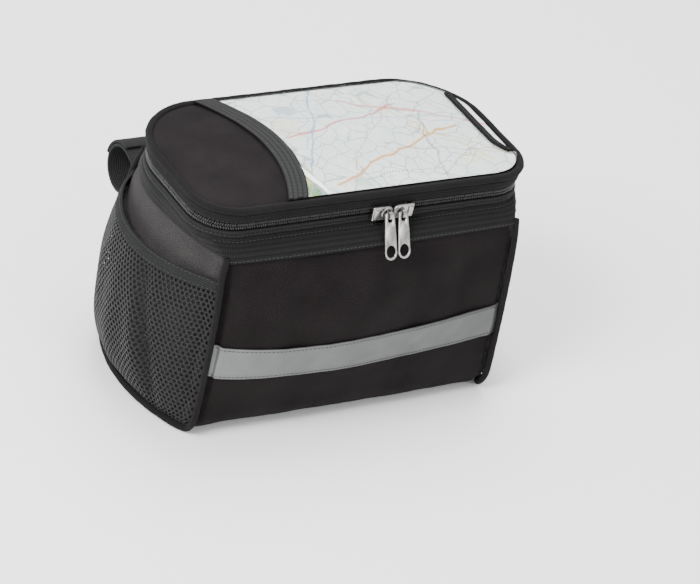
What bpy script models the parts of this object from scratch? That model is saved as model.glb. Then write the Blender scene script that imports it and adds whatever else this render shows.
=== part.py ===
"""A bicycle cooler bag: a padded box with a zipped lid, a map window, net side pockets and two bar straps.

Metres, +Z up. The front faces -Y, the straps are at +Y, and the origin is the centre of the flat base.
"""
import math
from collections import namedtuple

import bmesh
import bpy
import numpy as np
from mathutils import Vector

# Lid, measured over its rolled edge
LID_WIDTH = 0.219
LID_DEPTH = 0.112
LID_FRONT_RADIUS = 0.026
LID_BACK_RADIUS = 0.048
LID_THICKNESS = 0.004
LID_DOME = 0.003
BINDING_RADIUS = 0.0022

# Body
BODY_HEIGHT = 0.1225
PADDING = 0.004
FRONT_BULGE = 0.0125
BULGE_SKEW = 0.7
BASE_FRONT_RADIUS = 0.016
BASE_BACK_RADIUS = 0.020
BACK_SEAM_X = 0.090
PIPING_RADIUS = 0.0019
SEAM_TURN = 0.72

# Zip
ZIP_RECESS = 0.0025
TAPE_THICKNESS = 0.0013
LOWER_TAPE_HEIGHT = 0.0052
UPPER_TAPE_HEIGHT = 0.0050
COIL_HEIGHT = 0.0054
COIL_THICKNESS = 0.0020
COIL_END_X = 0.055

# Webbing and strip on the front
RIM_BAND_HEIGHT = 0.0085
RIM_BAND_THICKNESS = 0.0010
STRIP_HEIGHT = 0.0205
STRIP_BASE = 0.0420
STRIP_SAG = 0.0015
STRIP_THICKNESS = 0.0010

# Side pockets
POCKET_DEPTH = 0.0120
POCKET_BOTTOM = 0.0065
POCKET_TOP = 0.1020
POCKET_SAG = 0.0045
NET_THICKNESS = 0.0010
POCKET_BAND_HEIGHT = 0.0065
POCKET_BAND_THICKNESS = 0.0016
POCKET_SEAM = 0.0065

# Map window on the lid
WINDOW_BAND_WIDTH = 0.0130
WINDOW_BAND_THICKNESS = 0.0018
BAND_APEX_FROM_END = 0.0712
BAND_APEX_Y = -0.0050
BAND_BOW = 0.0146
BAND_BOW_REACH = 0.0520
MAP_THICKNESS = 0.0004
FILM_THICKNESS = 0.0005
MOUTH_FROM_END = 0.0138
MOUTH_TAPE_WIDTH = 0.0045
MOUTH_TAPE_THICKNESS = 0.0012
MOUTH_FRONT_Y = -0.0360
MOUTH_BEND_Y = -0.0180
MOUTH_FLARE = 0.0075
MAP_FROM_END = 0.0065

# Zip sliders and pulls
SLIDER_LENGTH = 0.0135
SLIDER_HEIGHT = 0.0094
SLIDER_THICKNESS = 0.0030
SLIDER_MEETING_X = 0.0117
SLIDER_SPACING = 0.0142
EAR_THICKNESS = 0.0012
EAR_HEIGHT = 0.0046
EAR_REACH = 0.0042
EAR_SPACING = 0.0046
HINGE_PIN_RADIUS = 0.0008
PULL_SPACING = 0.0088
PULL_WIDTH = 0.0080
PULL_NECK_WIDTH = 0.0036
PULL_LENGTH = 0.0265
PULL_THICKNESS = 0.0015
PULL_HOLE_WIDTH = 0.0050
PULL_HOLE_HEIGHT = 0.0066
PULL_HOLE_EDGE = 0.0058
PULL_EYE_RADIUS = 0.0019
PULL_LEAN = math.radians(26.0)

# Straps
BAR_DIAMETER = 0.0254
BAR_HEIGHT = 0.0870
STRAP_WIDTH = 0.0250
STRAP_THICKNESS = 0.0018
STRAP_FROM_END = 0.0350
STRAP_SEAT_HEIGHT = 0.0200
STRAP_OVERLAP = math.radians(95.0)

# Edges sharper than this stay crisp in the shading
SMOOTH_ANGLE = math.radians(40.0)

# Clearances
GAP = 0.0003
CLOTH_GAP = 0.0006
PIN_GAP = 0.0003

# Counts of segments
FRONT_STEPS = 8
LID_FRONT_STEPS = 1
FILLET_STEPS = 4
SIDE_STEPS = 5
CORNER_STEPS = 8
BACK_STEPS = 3

HALF_WIDTH = LID_WIDTH / 2
HALF_DEPTH = LID_DEPTH / 2
BAND_APEX_X = BAND_APEX_FROM_END - HALF_WIDTH
MOUTH_X = HALF_WIDTH - MOUTH_FROM_END
MAP_EDGE_X = HALF_WIDTH - MAP_FROM_END
STRAP_X = HALF_WIDTH - STRAP_FROM_END
TAPE_BASE = BODY_HEIGHT + GAP
COIL_BASE = TAPE_BASE + LOWER_TAPE_HEIGHT + GAP
COIL_CENTRE = COIL_BASE + COIL_HEIGHT / 2
UPPER_TAPE_BASE = COIL_BASE + COIL_HEIGHT + GAP
BINDING_CENTRE = UPPER_TAPE_BASE + UPPER_TAPE_HEIGHT + GAP + BINDING_RADIUS
LID_INSET = 2 * BINDING_RADIUS + GAP
LID_TOP = BINDING_CENTRE + BINDING_RADIUS / 2

# Lengths are shares: heights of BODY_HEIGHT, x of HALF_WIDTH, y of HALF_DEPTH,
# corner_round of LID_FRONT_RADIUS and bulge of FRONT_BULGE.
Section = namedtuple("Section", "height corner_x corner_y corner_round bulge side_x side_y back_y back_flat")
BODY_SECTIONS = (
    Section(0.000, 0.890, -1.223, 0.20, 0.00, 1.010, -0.21, 1.020, 0.74),
    Section(0.165, 0.888, -1.223, 0.20, 0.28, 1.018, -0.18, 1.045, 0.74),
    Section(0.345, 0.884, -1.214, 0.20, 0.74, 1.027, -0.14, 1.070, 0.72),
    Section(0.530, 0.881, -1.196, 0.20, 1.00, 1.032, -0.11, 1.080, 0.71),
    Section(0.735, 0.879, -1.160, 0.20, 0.84, 1.023, -0.07, 1.070, 0.69),
    Section(0.880, 0.879, -1.116, 0.20, 0.48, 1.009, 0.00, 1.035, 0.64),
    Section(0.963, 0.881, -1.068, 0.24, 0.12, 0.991, 0.07, 1.000, 0.58),
)

Outline = namedtuple("Outline", "corner_x corner_y corner_round side_x side_y back_y back_flat")

COLOURS = {
    "fabric": (0.018, 0.016, 0.017, 1.0),
    "webbing": (0.030, 0.031, 0.032, 1.0),
    "reflective": (0.42, 0.43, 0.43, 1.0),
    "net": (0.025, 0.023, 0.024, 1.0),
    "film": (0.80, 0.83, 0.84, 0.3),
    "paper": (0.76, 0.80, 0.75, 1.0),
    "metal": (0.60, 0.58, 0.55, 1.0),
}


def clear_scene():
    for item in list(bpy.data.objects):
        bpy.data.objects.remove(item, do_unlink=True)


def new_collection(name):
    collection = bpy.data.collections.new(name)
    bpy.context.scene.collection.children.link(collection)
    return collection


def new_material(name, colour, roughness, metallic):
    material = bpy.data.materials.new(name)
    material.use_nodes = True
    shader = material.node_tree.nodes["Principled BSDF"]
    shader.inputs["Base Color"].default_value = colour
    shader.inputs["Roughness"].default_value = roughness
    shader.inputs["Metallic"].default_value = metallic
    return material


def add_object(name, mesh, kind, roughness=0.8, metallic=0.0):
    """Links a mesh as one named sub-part with a material of its own."""
    item = bpy.data.objects.new(name, mesh)
    PARTS.objects.link(item)
    material = new_material(name + "_" + kind, COLOURS[kind], roughness, metallic)
    if mesh.materials:
        item.material_slots[0].link = "OBJECT"
        item.material_slots[0].material = material
    else:
        mesh.materials.append(material)
    return item


def add_cutter(name, mesh):
    item = bpy.data.objects.new(name, mesh)
    CUTTERS.objects.link(item)
    item.hide_render = True
    item.display_type = "WIRE"
    return item


def finish_mesh(bm, name):
    mesh = bpy.data.meshes.new(name)
    bm.to_mesh(mesh)
    bm.free()
    mesh.shade_smooth()
    mesh.set_sharp_from_angle(angle=SMOOTH_ANGLE)
    return mesh


def solidify(item, thickness, outward):
    modifier = item.modifiers.new("Solidify", "SOLIDIFY")
    modifier.thickness = thickness
    modifier.offset = 1.0 if outward else -1.0
    modifier.use_even_offset = True
    return modifier


def boolean(item, cutter, operation):
    modifier = item.modifiers.new("Boolean", "BOOLEAN")
    modifier.operation = operation
    modifier.solver = "EXACT"
    modifier.object = cutter
    return modifier


def bevel(item, width, segments):
    modifier = item.modifiers.new("Bevel", "BEVEL")
    modifier.width = width
    modifier.segments = segments
    modifier.limit_method = "ANGLE"
    return modifier


# Plan outlines
def lid_outline(inset):
    """The lid's plan, drawn in from its outer edge."""
    return Outline(
        corner_x=HALF_WIDTH - inset,
        corner_y=-HALF_DEPTH + inset,
        corner_round=LID_FRONT_RADIUS - inset,
        side_x=HALF_WIDTH - inset,
        side_y=HALF_DEPTH - LID_BACK_RADIUS,
        back_y=HALF_DEPTH - inset,
        back_flat=HALF_WIDTH - LID_BACK_RADIUS,
    )


def smooth_column(heights, values, height):
    """Reads a column of the section table with a smooth curve through its rows."""
    slopes = np.gradient(np.array(values), np.array(heights))
    row = int(np.clip(np.searchsorted(heights, height) - 1, 0, len(heights) - 2))
    span = heights[row + 1] - heights[row]
    t = (height - heights[row]) / span
    ends = (2 * t**3 - 3 * t**2 + 1) * values[row] + (3 * t**2 - 2 * t**3) * values[row + 1]
    turns = (t**3 - 2 * t**2 + t) * slopes[row] + (t**3 - t**2) * slopes[row + 1]
    return float(ends + span * turns)


def section_rows():
    """The table in metres, closed at the top by the zip's own outline."""
    rows = []
    for row in BODY_SECTIONS:
        rows.append((
            row.height * BODY_HEIGHT,
            row.corner_x * HALF_WIDTH,
            row.corner_y * HALF_DEPTH,
            row.corner_round * LID_FRONT_RADIUS,
            row.side_x * HALF_WIDTH,
            row.side_y * HALF_DEPTH,
            row.back_y * HALF_DEPTH,
            row.back_flat * HALF_WIDTH,
            row.bulge * FRONT_BULGE,
        ))
    top = lid_outline(ZIP_RECESS)
    rows.append((BODY_HEIGHT,) + tuple(top) + (0.0,))
    return rows


def base_rounding(height, radius):
    """How far a rounded lower edge has drawn in at a height."""
    if height >= radius:
        return 0.0
    return radius - math.sqrt(radius**2 - (radius - height) ** 2)


def body_outline(height):
    """The body's plan at a height, and how far its front bulges there."""
    columns = list(zip(*section_rows()))
    heights = columns[0]
    values = [smooth_column(heights, column, height) for column in columns[1:]]
    outline = Outline(*values[:7])
    outline = outline._replace(
        corner_y=outline.corner_y + base_rounding(height, BASE_FRONT_RADIUS),
        back_y=outline.back_y - base_rounding(height, BASE_BACK_RADIUS),
    )
    return outline, values[7]


def side_curve_x(outline, y, start_y):
    """The side's x between the front corner and its widest place."""
    share = (outline.side_y - y) / (outline.side_y - start_y)
    return outline.side_x - (outline.side_x - outline.corner_x) * share**2


def half_outline(outline, front_steps=FRONT_STEPS):
    """The right half of a plan outline, from the middle of the front to the middle of the back."""
    corner = Vector((outline.corner_x, outline.corner_y))
    turn_y = outline.corner_y + outline.corner_round
    start = Vector((outline.corner_x - outline.corner_round, outline.corner_y))
    end = Vector((side_curve_x(outline, turn_y, outline.corner_y), turn_y))
    points = [Vector((start.x * step / front_steps, outline.corner_y)) for step in range(front_steps)]
    weight = math.sqrt(0.5)
    for step in range(FILLET_STEPS):
        t = step / FILLET_STEPS
        parts = ((1 - t) ** 2, 2 * t * (1 - t) * weight, t**2)
        points.append((start * parts[0] + corner * parts[1] + end * parts[2]) / sum(parts))
    for step in range(SIDE_STEPS):
        y = turn_y + (outline.side_y - turn_y) * step / SIDE_STEPS
        points.append(Vector((side_curve_x(outline, y, outline.corner_y), y)))
    reach = Vector((outline.side_x - outline.back_flat, outline.back_y - outline.side_y))
    for step in range(CORNER_STEPS):
        angle = math.pi / 2 * step / CORNER_STEPS
        x = outline.back_flat + reach.x * math.cos(angle)
        points.append(Vector((x, outline.side_y + reach.y * math.sin(angle))))
    for step in range(BACK_STEPS + 1):
        points.append(Vector((outline.back_flat * (1 - step / BACK_STEPS), outline.back_y)))
    return points


def bulge_share(x, corner_x):
    """How much of the front's bulge shows at x: its crest lies left of the middle."""
    t = min(max((x + corner_x) / (2 * corner_x), 0.0), 1.0)
    return math.sin(math.pi * t**BULGE_SKEW)


def full_outline(outline, bulge=0.0, front_steps=FRONT_STEPS):
    """The whole closed outline, from the middle of the front, to the right, round and back."""
    half = half_outline(outline, front_steps)
    left = [Vector((-point.x, point.y)) for point in reversed(half[1:-1])]
    points = [point.copy() for point in half + left]
    for point in points:
        if point.y <= outline.corner_y + 1e-9:
            point.y -= bulge * bulge_share(point.x, outline.corner_x)
    return points


def resample(points, shares):
    """Points at the given shares of a path's length."""
    lengths = [0.0]
    for first, second in zip(points, points[1:]):
        lengths.append(lengths[-1] + (second - first).length)
    at = [share * lengths[-1] for share in shares]
    columns = [np.interp(at, lengths, [point[axis] for point in points]) for axis in range(len(points[0]))]
    return [Vector(values) for values in zip(*columns)]


def outward_normals(points, centre=Vector((0.0, 0.0))):
    """Plan normals of a path, pointing away from the bag."""
    normals = []
    for index, point in enumerate(points):
        along = points[min(index + 1, len(points) - 1)] - points[max(index - 1, 0)]
        normal = Vector((along.y, -along.x)).normalized()
        normals.append(normal if normal.dot(point - centre) > 0 else -normal)
    return normals


def closed_normals(points):
    """Plan normals of a closed outline."""
    wrapped = [points[-1]] + list(points) + [points[0]]
    return outward_normals(wrapped)[1:-1]


def offset_loop(outline, distance):
    points = full_outline(outline, 0.0, LID_FRONT_STEPS)
    return [point + normal * distance for point, normal in zip(points, closed_normals(points))]


def front_surface(share, height):
    """A place on the front, from its left corner to its right one."""
    outline, bulge = body_outline(height)
    x = (2 * share - 1) * (outline.corner_x - outline.corner_round)
    return Vector((x, outline.corner_y - bulge * bulge_share(x, outline.corner_x), height))


def off_surface(surface, share, height, distance):
    """A place a distance out from a surface of the body, along its own normal."""
    reach = 0.01
    rise = BODY_HEIGHT / 120
    low, high = max(share - reach, 0.0), min(share + reach, 1.0)
    along = surface(high, height) - surface(low, height)
    up = surface(share, height + rise) - surface(share, max(height - rise, 0.0))
    place = surface(share, height)
    normal = along.cross(up).normalized()
    if normal.dot(place - Vector((0.0, 0.0, BODY_HEIGHT / 2))) < 0:
        normal = -normal
    return place + normal * distance


def side_path(height):
    """The right side from the front corner's middle to the back seam."""
    outline, _bulge = body_outline(height)
    half = half_outline(outline)[FRONT_STEPS + FILLET_STEPS // 2:]
    points = [half[0]]
    for first, second in zip(half, half[1:]):
        if second.x < BACK_SEAM_X and second.y > 0:
            points.append(first.lerp(second, (first.x - BACK_SEAM_X) / (first.x - second.x)))
            break
        points.append(second)
    return points


def side_surface(share, height):
    """A place on the right side, from the front corner's middle to the back seam."""
    place = resample(side_path(height), (share,))[0]
    return Vector((place.x, place.y, height))


# Meshes
def loft(name, loops, cap_top):
    """A closed-bottom skin through rings of points, each ring a list of 3-D points."""
    bm = bmesh.new()
    bmesh.ops.create_circle(bm, segments=len(loops[0]), radius=1.0, cap_ends=True)
    bm.verts.ensure_lookup_table()
    ring = list(bm.verts)
    for vert, point in zip(ring, loops[0]):
        vert.co = point
    for loop in loops[1:]:
        edges = [bm.edges.get((a, b)) for a, b in zip(ring, ring[1:] + ring[:1])]
        grown = bmesh.ops.extrude_edge_only(bm, edges=edges)["geom"]
        fresh = {v for v in grown if isinstance(v, bmesh.types.BMVert)}
        ring = [next(e.other_vert(v) for e in v.link_edges if e.other_vert(v) in fresh) for v in ring]
        for vert, point in zip(ring, loop):
            vert.co = point
    if cap_top:
        bmesh.ops.contextual_create(bm, geom=ring)
    bmesh.ops.recalc_face_normals(bm, faces=bm.faces)
    return finish_mesh(bm, name)


def wall_ring(name, points, base, height):
    """An upright open ring over a closed plan outline."""
    bm = bmesh.new()
    bmesh.ops.create_circle(bm, segments=len(points), radius=1.0)
    bm.verts.ensure_lookup_table()
    for vert, point in zip(bm.verts, points):
        vert.co = (point.x, point.y, base)
    grown = bmesh.ops.extrude_edge_only(bm, edges=bm.edges[:])["geom"]
    top = [v for v in grown if isinstance(v, bmesh.types.BMVert)]
    bmesh.ops.translate(bm, verts=top, vec=(0.0, 0.0, height))
    face_outward(bm)
    return finish_mesh(bm, name)


def face_outward(bm):
    """Turns an open sheet so that its faces look away from the bag's middle."""
    middle = Vector((0.0, 0.0, BODY_HEIGHT / 2))
    bmesh.ops.recalc_face_normals(bm, faces=bm.faces)
    facing = sum((face.calc_center_median() - middle).dot(face.normal) * face.calc_area() for face in bm.faces)
    if facing < 0:
        bmesh.ops.reverse_faces(bm, faces=bm.faces)


def grid_sheet(name, rows):
    """An open sheet through rows of 3-D points."""
    bm = bmesh.new()
    columns = len(rows[0])
    bmesh.ops.create_grid(bm, x_segments=columns - 1, y_segments=len(rows) - 1, size=0.5)
    bm.verts.ensure_lookup_table()
    points = [point for row in rows for point in row]
    for vert, point in zip(bm.verts, points):
        vert.co = point
    face_outward(bm)
    return finish_mesh(bm, name)


def prism(name, points, base, height):
    """A flat plan outline raised to a height."""
    bm = bmesh.new()
    face = bm.faces.new([bm.verts.new((x, y, base)) for x, y in points])
    grown = bmesh.ops.extrude_face_region(bm, geom=[face])["geom"]
    top = [v for v in grown if isinstance(v, bmesh.types.BMVert)]
    bmesh.ops.translate(bm, verts=top, vec=(0.0, 0.0, height))
    bmesh.ops.recalc_face_normals(bm, faces=bm.faces)
    return finish_mesh(bm, name)


def tube(name, points, radius, closed):
    """A round cord along points, as a curve with filled ends."""
    curve = bpy.data.curves.new(name, "CURVE")
    curve.dimensions = "3D"
    curve.bevel_depth = radius
    curve.bevel_resolution = 2
    curve.use_fill_caps = True
    spline = curve.splines.new("POLY")
    spline.points.add(len(points) - 1)
    for place, point in zip(spline.points, points):
        place.co = (point[0], point[1], point[2], 1.0)
    spline.use_cyclic_u = closed
    return curve


def box(name, size, centre):
    bm = bmesh.new()
    bmesh.ops.create_cube(bm, size=1.0)
    bmesh.ops.scale(bm, vec=size, verts=bm.verts)
    bmesh.ops.translate(bm, vec=centre, verts=bm.verts)
    return finish_mesh(bm, name)


def cylinder_x(name, radius, length, centre, segments=16):
    """A cylinder along X."""
    bm = bmesh.new()
    bmesh.ops.create_cone(bm, cap_ends=True, segments=segments, radius1=radius, radius2=radius, depth=length)
    turn = Vector((0, 0, 1)).rotation_difference(Vector((1, 0, 0))).to_matrix()
    bmesh.ops.rotate(bm, verts=bm.verts, cent=(0, 0, 0), matrix=turn)
    bmesh.ops.translate(bm, vec=centre, verts=bm.verts)
    return finish_mesh(bm, name)


# Body
def body_heights():
    """Heights of the body's rings: close together on the rounded lower edge and under the zip."""
    lower = [BASE_FRONT_RADIUS * (1 - math.cos(math.radians(angle))) for angle in (0, 20, 38, 54, 72, 90)]
    shares = np.linspace(0.0, 1.0, 9)[1:]
    span = BODY_HEIGHT - BASE_FRONT_RADIUS
    upper = [BASE_FRONT_RADIUS + span * 0.87 * share for share in shares]
    rim = [BODY_HEIGHT - span * share for share in (0.08, 0.04, 0.015, 0.0)]
    return lower + upper + rim


def inner_outline(outline):
    """The plan of the padding's inner face."""
    return outline._replace(
        corner_x=outline.corner_x - PADDING,
        corner_y=outline.corner_y + PADDING,
        corner_round=max(outline.corner_round - PADDING, PADDING / 4),
        side_x=outline.side_x - PADDING,
        back_y=outline.back_y - PADDING,
    )


def body_shell_mesh():
    """A cup: its outer face from the base to the rim, then its inner face down to the inner base."""
    loops = []
    heights = body_heights()
    for height in heights:
        outline, bulge = body_outline(height)
        loops.append([Vector((p.x, p.y, height)) for p in full_outline(outline, bulge)])
    inner_heights = [height for height in reversed(heights) if height > 1.3 * PADDING][::2] + [PADDING]
    for height in inner_heights:
        outline, bulge = body_outline(height)
        loops.append([Vector((p.x, p.y, height)) for p in full_outline(inner_outline(outline), bulge)])
    return loft("body_shell", loops, cap_top=True)


def seam_plan(side, inset):
    """The plan area beside a seam, from the front corner to the back seam."""
    outline, _bulge = body_outline(BODY_HEIGHT / 2)
    front_x = outline.corner_x - 0.3 * outline.corner_round + inset
    slope = (front_x - BACK_SEAM_X - inset) / (outline.back_y - outline.corner_y)
    reach = LID_WIDTH
    near = front_x + slope * (reach + outline.corner_y)
    far = front_x - slope * (reach - outline.corner_y)
    points = [(near, -reach), (2 * reach, -reach), (2 * reach, reach), (far, reach)]
    return [(side * x, y) for x, y in points][::side]


def make_body():
    mesh = body_shell_mesh()
    wrap = add_object("body_wrap", mesh, "fabric")
    for side, word in SIDES:
        cut = prism("seam_cut_" + word, seam_plan(side, 0.0), PADDING, 2 * BODY_HEIGHT)
        boolean(wrap, add_cutter("seam_cut_" + word, cut), "DIFFERENCE")
        keep = prism("side_keep_" + word, seam_plan(side, GAP), PADDING + GAP, 2 * BODY_HEIGHT)
        panel = add_object("side_panel_" + word, mesh, "fabric")
        boolean(panel, add_cutter("side_keep_" + word, keep), "INTERSECT")


def cord_place(share, level):
    """The cord's centre beside the side's edge, at a level above the ground."""
    height = level
    for _turn in range(8):
        place = off_surface(side_surface, share, height, PIPING_RADIUS + CLOTH_GAP)
        height += level - place.z
    return Vector((place.x, place.y, level))


def cord_rise(share):
    """How far the seam has risen along the side: level at first, then round the low back corner."""
    turn = max(0.0, (share - SEAM_TURN) / (1 - SEAM_TURN))
    return BASE_BACK_RADIUS * (1 - math.sqrt(1 - min(turn, 1.0) ** 2))


def piping_path():
    """The right seam cord: down the front corner, along the base's edge and up the back."""
    ground = PIPING_RADIUS + GAP
    points = [cord_place(0.0, level) for level in np.linspace(0.955 * BODY_HEIGHT, BASE_FRONT_RADIUS, 10)]
    points += [cord_place(0.0, ground + (BASE_FRONT_RADIUS - ground) * share**2) for share in (0.8, 0.55, 0.3, 0.0)]
    points += [cord_place(share, ground) for share in np.linspace(0.04, SEAM_TURN, 9)]
    for turn in np.linspace(0.0, math.pi / 2, 6)[1:]:
        share = SEAM_TURN + (1 - SEAM_TURN) * math.sin(turn)
        points.append(cord_place(share, ground + cord_rise(share)))
    high = np.linspace(ground + BASE_BACK_RADIUS, 0.985 * BODY_HEIGHT, 9)[1:]
    return points + [cord_place(1.0, level) for level in high]


def make_piping():
    path = piping_path()
    for side, word in SIDES:
        points = [Vector((side * point.x, point.y, point.z)) for point in path]
        add_object("piping_" + word, tube("piping_" + word, points, PIPING_RADIUS, False), "webbing")


def front_rows(base, height, sag, levels):
    """Rows of points for a strip laid across the front."""
    rows = []
    for level in np.linspace(base, base + height, levels):
        row = []
        for share in np.linspace(0.0, 1.0, 2 * FRONT_STEPS + 1):
            row.append(off_surface(front_surface, share, level - sag * math.sin(math.pi * share), CLOTH_GAP))
        rows.append(row)
    return rows


def make_front_webbing():
    rows = front_rows(BODY_HEIGHT - GAP - RIM_BAND_HEIGHT, RIM_BAND_HEIGHT, 0.0, 4)
    band = add_object("rim_band", grid_sheet("rim_band", rows), "webbing")
    solidify(band, RIM_BAND_THICKNESS, outward=True)
    rows = front_rows(STRIP_BASE, STRIP_HEIGHT, STRIP_SAG, 3)
    strip = add_object("reflective_strip", grid_sheet("reflective_strip", rows), "reflective", 0.4)
    solidify(strip, STRIP_THICKNESS, outward=True)


# Side pockets
def pocket_mouth(share):
    """The pocket's upper edge: highest at its seams, slack between them."""
    return POCKET_TOP - POCKET_SAG * math.sin(math.pi * share)


def pocket_along(share, height):
    """Where a share of the pocket's width lies along the side."""
    path = side_path(height)
    length = sum((second - first).length for first, second in zip(path, path[1:]))
    return (POCKET_SEAM + share * (length - 2 * POCKET_SEAM)) / length


def pocket_point(share, height):
    """A place on the right pocket, which stands off the side panel between its seams."""
    along = pocket_along(share, height)
    rise = max(height - POCKET_BOTTOM, 0.0) / (POCKET_TOP - POCKET_BOTTOM)
    fill = math.sin(math.pi * 0.8 * min(rise, 1.0) ** 0.8) ** 0.75
    out = CLOTH_GAP + POCKET_DEPTH * math.sin(math.pi * share) ** 0.85 * fill
    return off_surface(side_surface, along, height, out)


def make_pockets():
    shares = np.linspace(0.0, 1.0, 17)
    net_rows = []
    for level in np.linspace(0.0, 1.0, 9) ** 1.3:
        row = []
        for share in shares:
            top = pocket_mouth(share) - POCKET_BAND_HEIGHT - GAP
            base = POCKET_BOTTOM + cord_rise(pocket_along(share, BASE_BACK_RADIUS))
            row.append(pocket_point(share, base + level * (top - base)))
        net_rows.append(row)
    band_rows = []
    for level in (0.0, 0.5, 1.0):
        row = []
        for share in shares:
            base = pocket_mouth(share) - POCKET_BAND_HEIGHT
            row.append(pocket_point(share, base + level * POCKET_BAND_HEIGHT))
        band_rows.append(row)
    for side, word in SIDES:
        turn = Vector((side, 1.0, 1.0))
        rows = [[point * turn for point in row] for row in net_rows]
        net = add_object("net_pocket_" + word, grid_sheet("net_pocket_" + word, rows), "net")
        solidify(net, NET_THICKNESS, outward=True)
        rows = [[point * turn for point in row] for row in band_rows]
        band = add_object("pocket_band_" + word, grid_sheet("pocket_band_" + word, rows), "webbing")
        solidify(band, POCKET_BAND_THICKNESS, outward=True)


# Zip
def make_zip():
    plan = offset_loop(lid_outline(ZIP_RECESS), -TAPE_THICKNESS)
    tapes = (("zip_tape_lower", TAPE_BASE, LOWER_TAPE_HEIGHT), ("zip_tape_upper", UPPER_TAPE_BASE, UPPER_TAPE_HEIGHT))
    for name, base, height in tapes:
        tape = add_object(name, wall_ring(name, plan, base, height), "webbing")
        solidify(tape, TAPE_THICKNESS, outward=True)
    half = half_outline(lid_outline(ZIP_RECESS), LID_FRONT_STEPS)
    front = [point for point in half if point.y < 0 or point.x > COIL_END_X]
    front.append(Vector((COIL_END_X, half[-1].y)))
    coil_plan = [Vector((-point.x, point.y)) for point in reversed(front[1:])] + front
    hinge_plan = [Vector((x, half[-1].y)) for x in (COIL_END_X - GAP, GAP - COIL_END_X)]
    for name, points, kind, thickness in (
        ("zip_coil", coil_plan, "webbing", COIL_THICKNESS),
        ("lid_hinge", hinge_plan, "fabric", TAPE_THICKNESS),
    ):
        inner = [p - n * thickness / 2 for p, n in zip(points, outward_normals(points))]
        rows = [[Vector((p.x, p.y, COIL_BASE + level)) for p in inner] for level in (0.0, COIL_HEIGHT)]
        item = add_object(name, grid_sheet(name, rows), kind)
        solidify(item, thickness, outward=True)


# Lid
def lid_surface(x, y):
    """The height of the lid's domed top."""
    return LID_TOP + LID_DOME * (1 - (x / HALF_WIDTH) ** 2) * (1 - (y / HALF_DEPTH) ** 2)


def lid_half_width(y, inset):
    """The lid's x at y, drawn in from its outer edge."""
    width = HALF_WIDTH - inset
    front = LID_FRONT_RADIUS - inset
    back = LID_BACK_RADIUS - inset
    front_y = y - (LID_FRONT_RADIUS - HALF_DEPTH)
    back_y = y - (HALF_DEPTH - LID_BACK_RADIUS)
    if front_y < 0:
        return width - front + math.sqrt(max(front**2 - front_y**2, 0.0))
    if back_y > 0:
        return width - back + math.sqrt(max(back**2 - back_y**2, 0.0))
    return width


def make_lid():
    edge = full_outline(lid_outline(LID_INSET), 0.0, LID_FRONT_STEPS)
    base = LID_TOP - LID_THICKNESS
    loops = [[Vector((p.x, p.y, base)) for p in edge]]
    for scale in (1.0, 0.86, 0.66, 0.4):
        loops.append([Vector((p.x * scale, p.y * scale, lid_surface(p.x * scale, p.y * scale))) for p in edge])
    add_object("lid_panel", loft("lid_panel", loops, cap_top=True), "fabric")
    plan = full_outline(lid_outline(BINDING_RADIUS), 0.0, LID_FRONT_STEPS)
    roll = [Vector((p.x, p.y, BINDING_CENTRE)) for p in plan]
    add_object("lid_binding", tube("lid_binding", roll, BINDING_RADIUS, True), "fabric")


def band_centre_x(y):
    """The curved webbing's middle line."""
    return BAND_APEX_X - BAND_BOW * ((y - BAND_APEX_Y) / BAND_BOW_REACH) ** 2


def mouth_x(y):
    """The mouth tape's middle line, which turns to the lid's edge at the front."""
    bend = max(0.0, (MOUTH_BEND_Y - y) / (MOUTH_BEND_Y - MOUTH_FRONT_Y))
    return MOUTH_X + MOUTH_FLARE * min(bend, 1.0) ** 2


def lid_rows(inset, left, right, lift, columns, rows=11):
    """Rows of points on the lid between a left and a right edge, closer together near the front and back."""
    reach = HALF_DEPTH - inset
    grid = []
    for row in range(rows):
        y = -reach * math.cos(math.pi * row / (rows - 1))
        grid.append([])
        for share in np.linspace(0.0, 1.0, columns):
            x = left(y) + (right(y) - left(y)) * share
            grid[-1].append(Vector((x, y, lid_surface(x, y) + lift)))
    return grid


def lid_layer(name, rows, thickness, kind, roughness=0.8):
    item = add_object(name, grid_sheet(name, rows), kind, roughness)
    solidify(item, thickness, outward=True)


def make_window():
    inner = LID_INSET + GAP
    half_band = WINDOW_BAND_WIDTH / 2
    half_tape = MOUTH_TAPE_WIDTH / 2
    window_lift = 2 * GAP + MAP_THICKNESS

    def band_left(y):
        return band_centre_x(y) - half_band

    def band_right(y):
        return band_centre_x(y) + half_band

    def sheet_left(y):
        return band_right(y) + GAP

    def film_right(y):
        edge = lid_half_width(y, inner)
        return min(mouth_x(y), edge) if y > MOUTH_FRONT_Y else edge

    def map_right(y):
        return min(MAP_EDGE_X, lid_half_width(y, inner + GAP))

    lid_layer("window_band", lid_rows(inner, band_left, band_right, GAP, 4), WINDOW_BAND_THICKNESS, "webbing")
    lid_layer("map_sheet", lid_rows(inner + GAP, sheet_left, map_right, GAP, 9), MAP_THICKNESS, "paper")
    lid_layer("map_window", lid_rows(inner, sheet_left, film_right, window_lift, 9), FILM_THICKNESS, "film", 0.1)
    back_y = HALF_DEPTH - LID_BACK_RADIUS
    reach = LID_BACK_RADIUS - inner
    far_x = MOUTH_X + half_tape - (HALF_WIDTH - LID_BACK_RADIUS)
    mouth_back_y = back_y + math.sqrt(reach**2 - far_x**2) - GAP
    rows = []
    for y in np.linspace(MOUTH_FRONT_Y + MOUTH_TAPE_WIDTH, mouth_back_y, 10):
        row = []
        for x in np.linspace(mouth_x(y) - half_tape, min(mouth_x(y) + half_tape, lid_half_width(y, inner)), 3):
            row.append(Vector((x, y, lid_surface(x, y) + window_lift + FILM_THICKNESS + GAP)))
        rows.append(row)
    lid_layer("mouth_tape", rows, MOUTH_TAPE_THICKNESS, "webbing")


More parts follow.
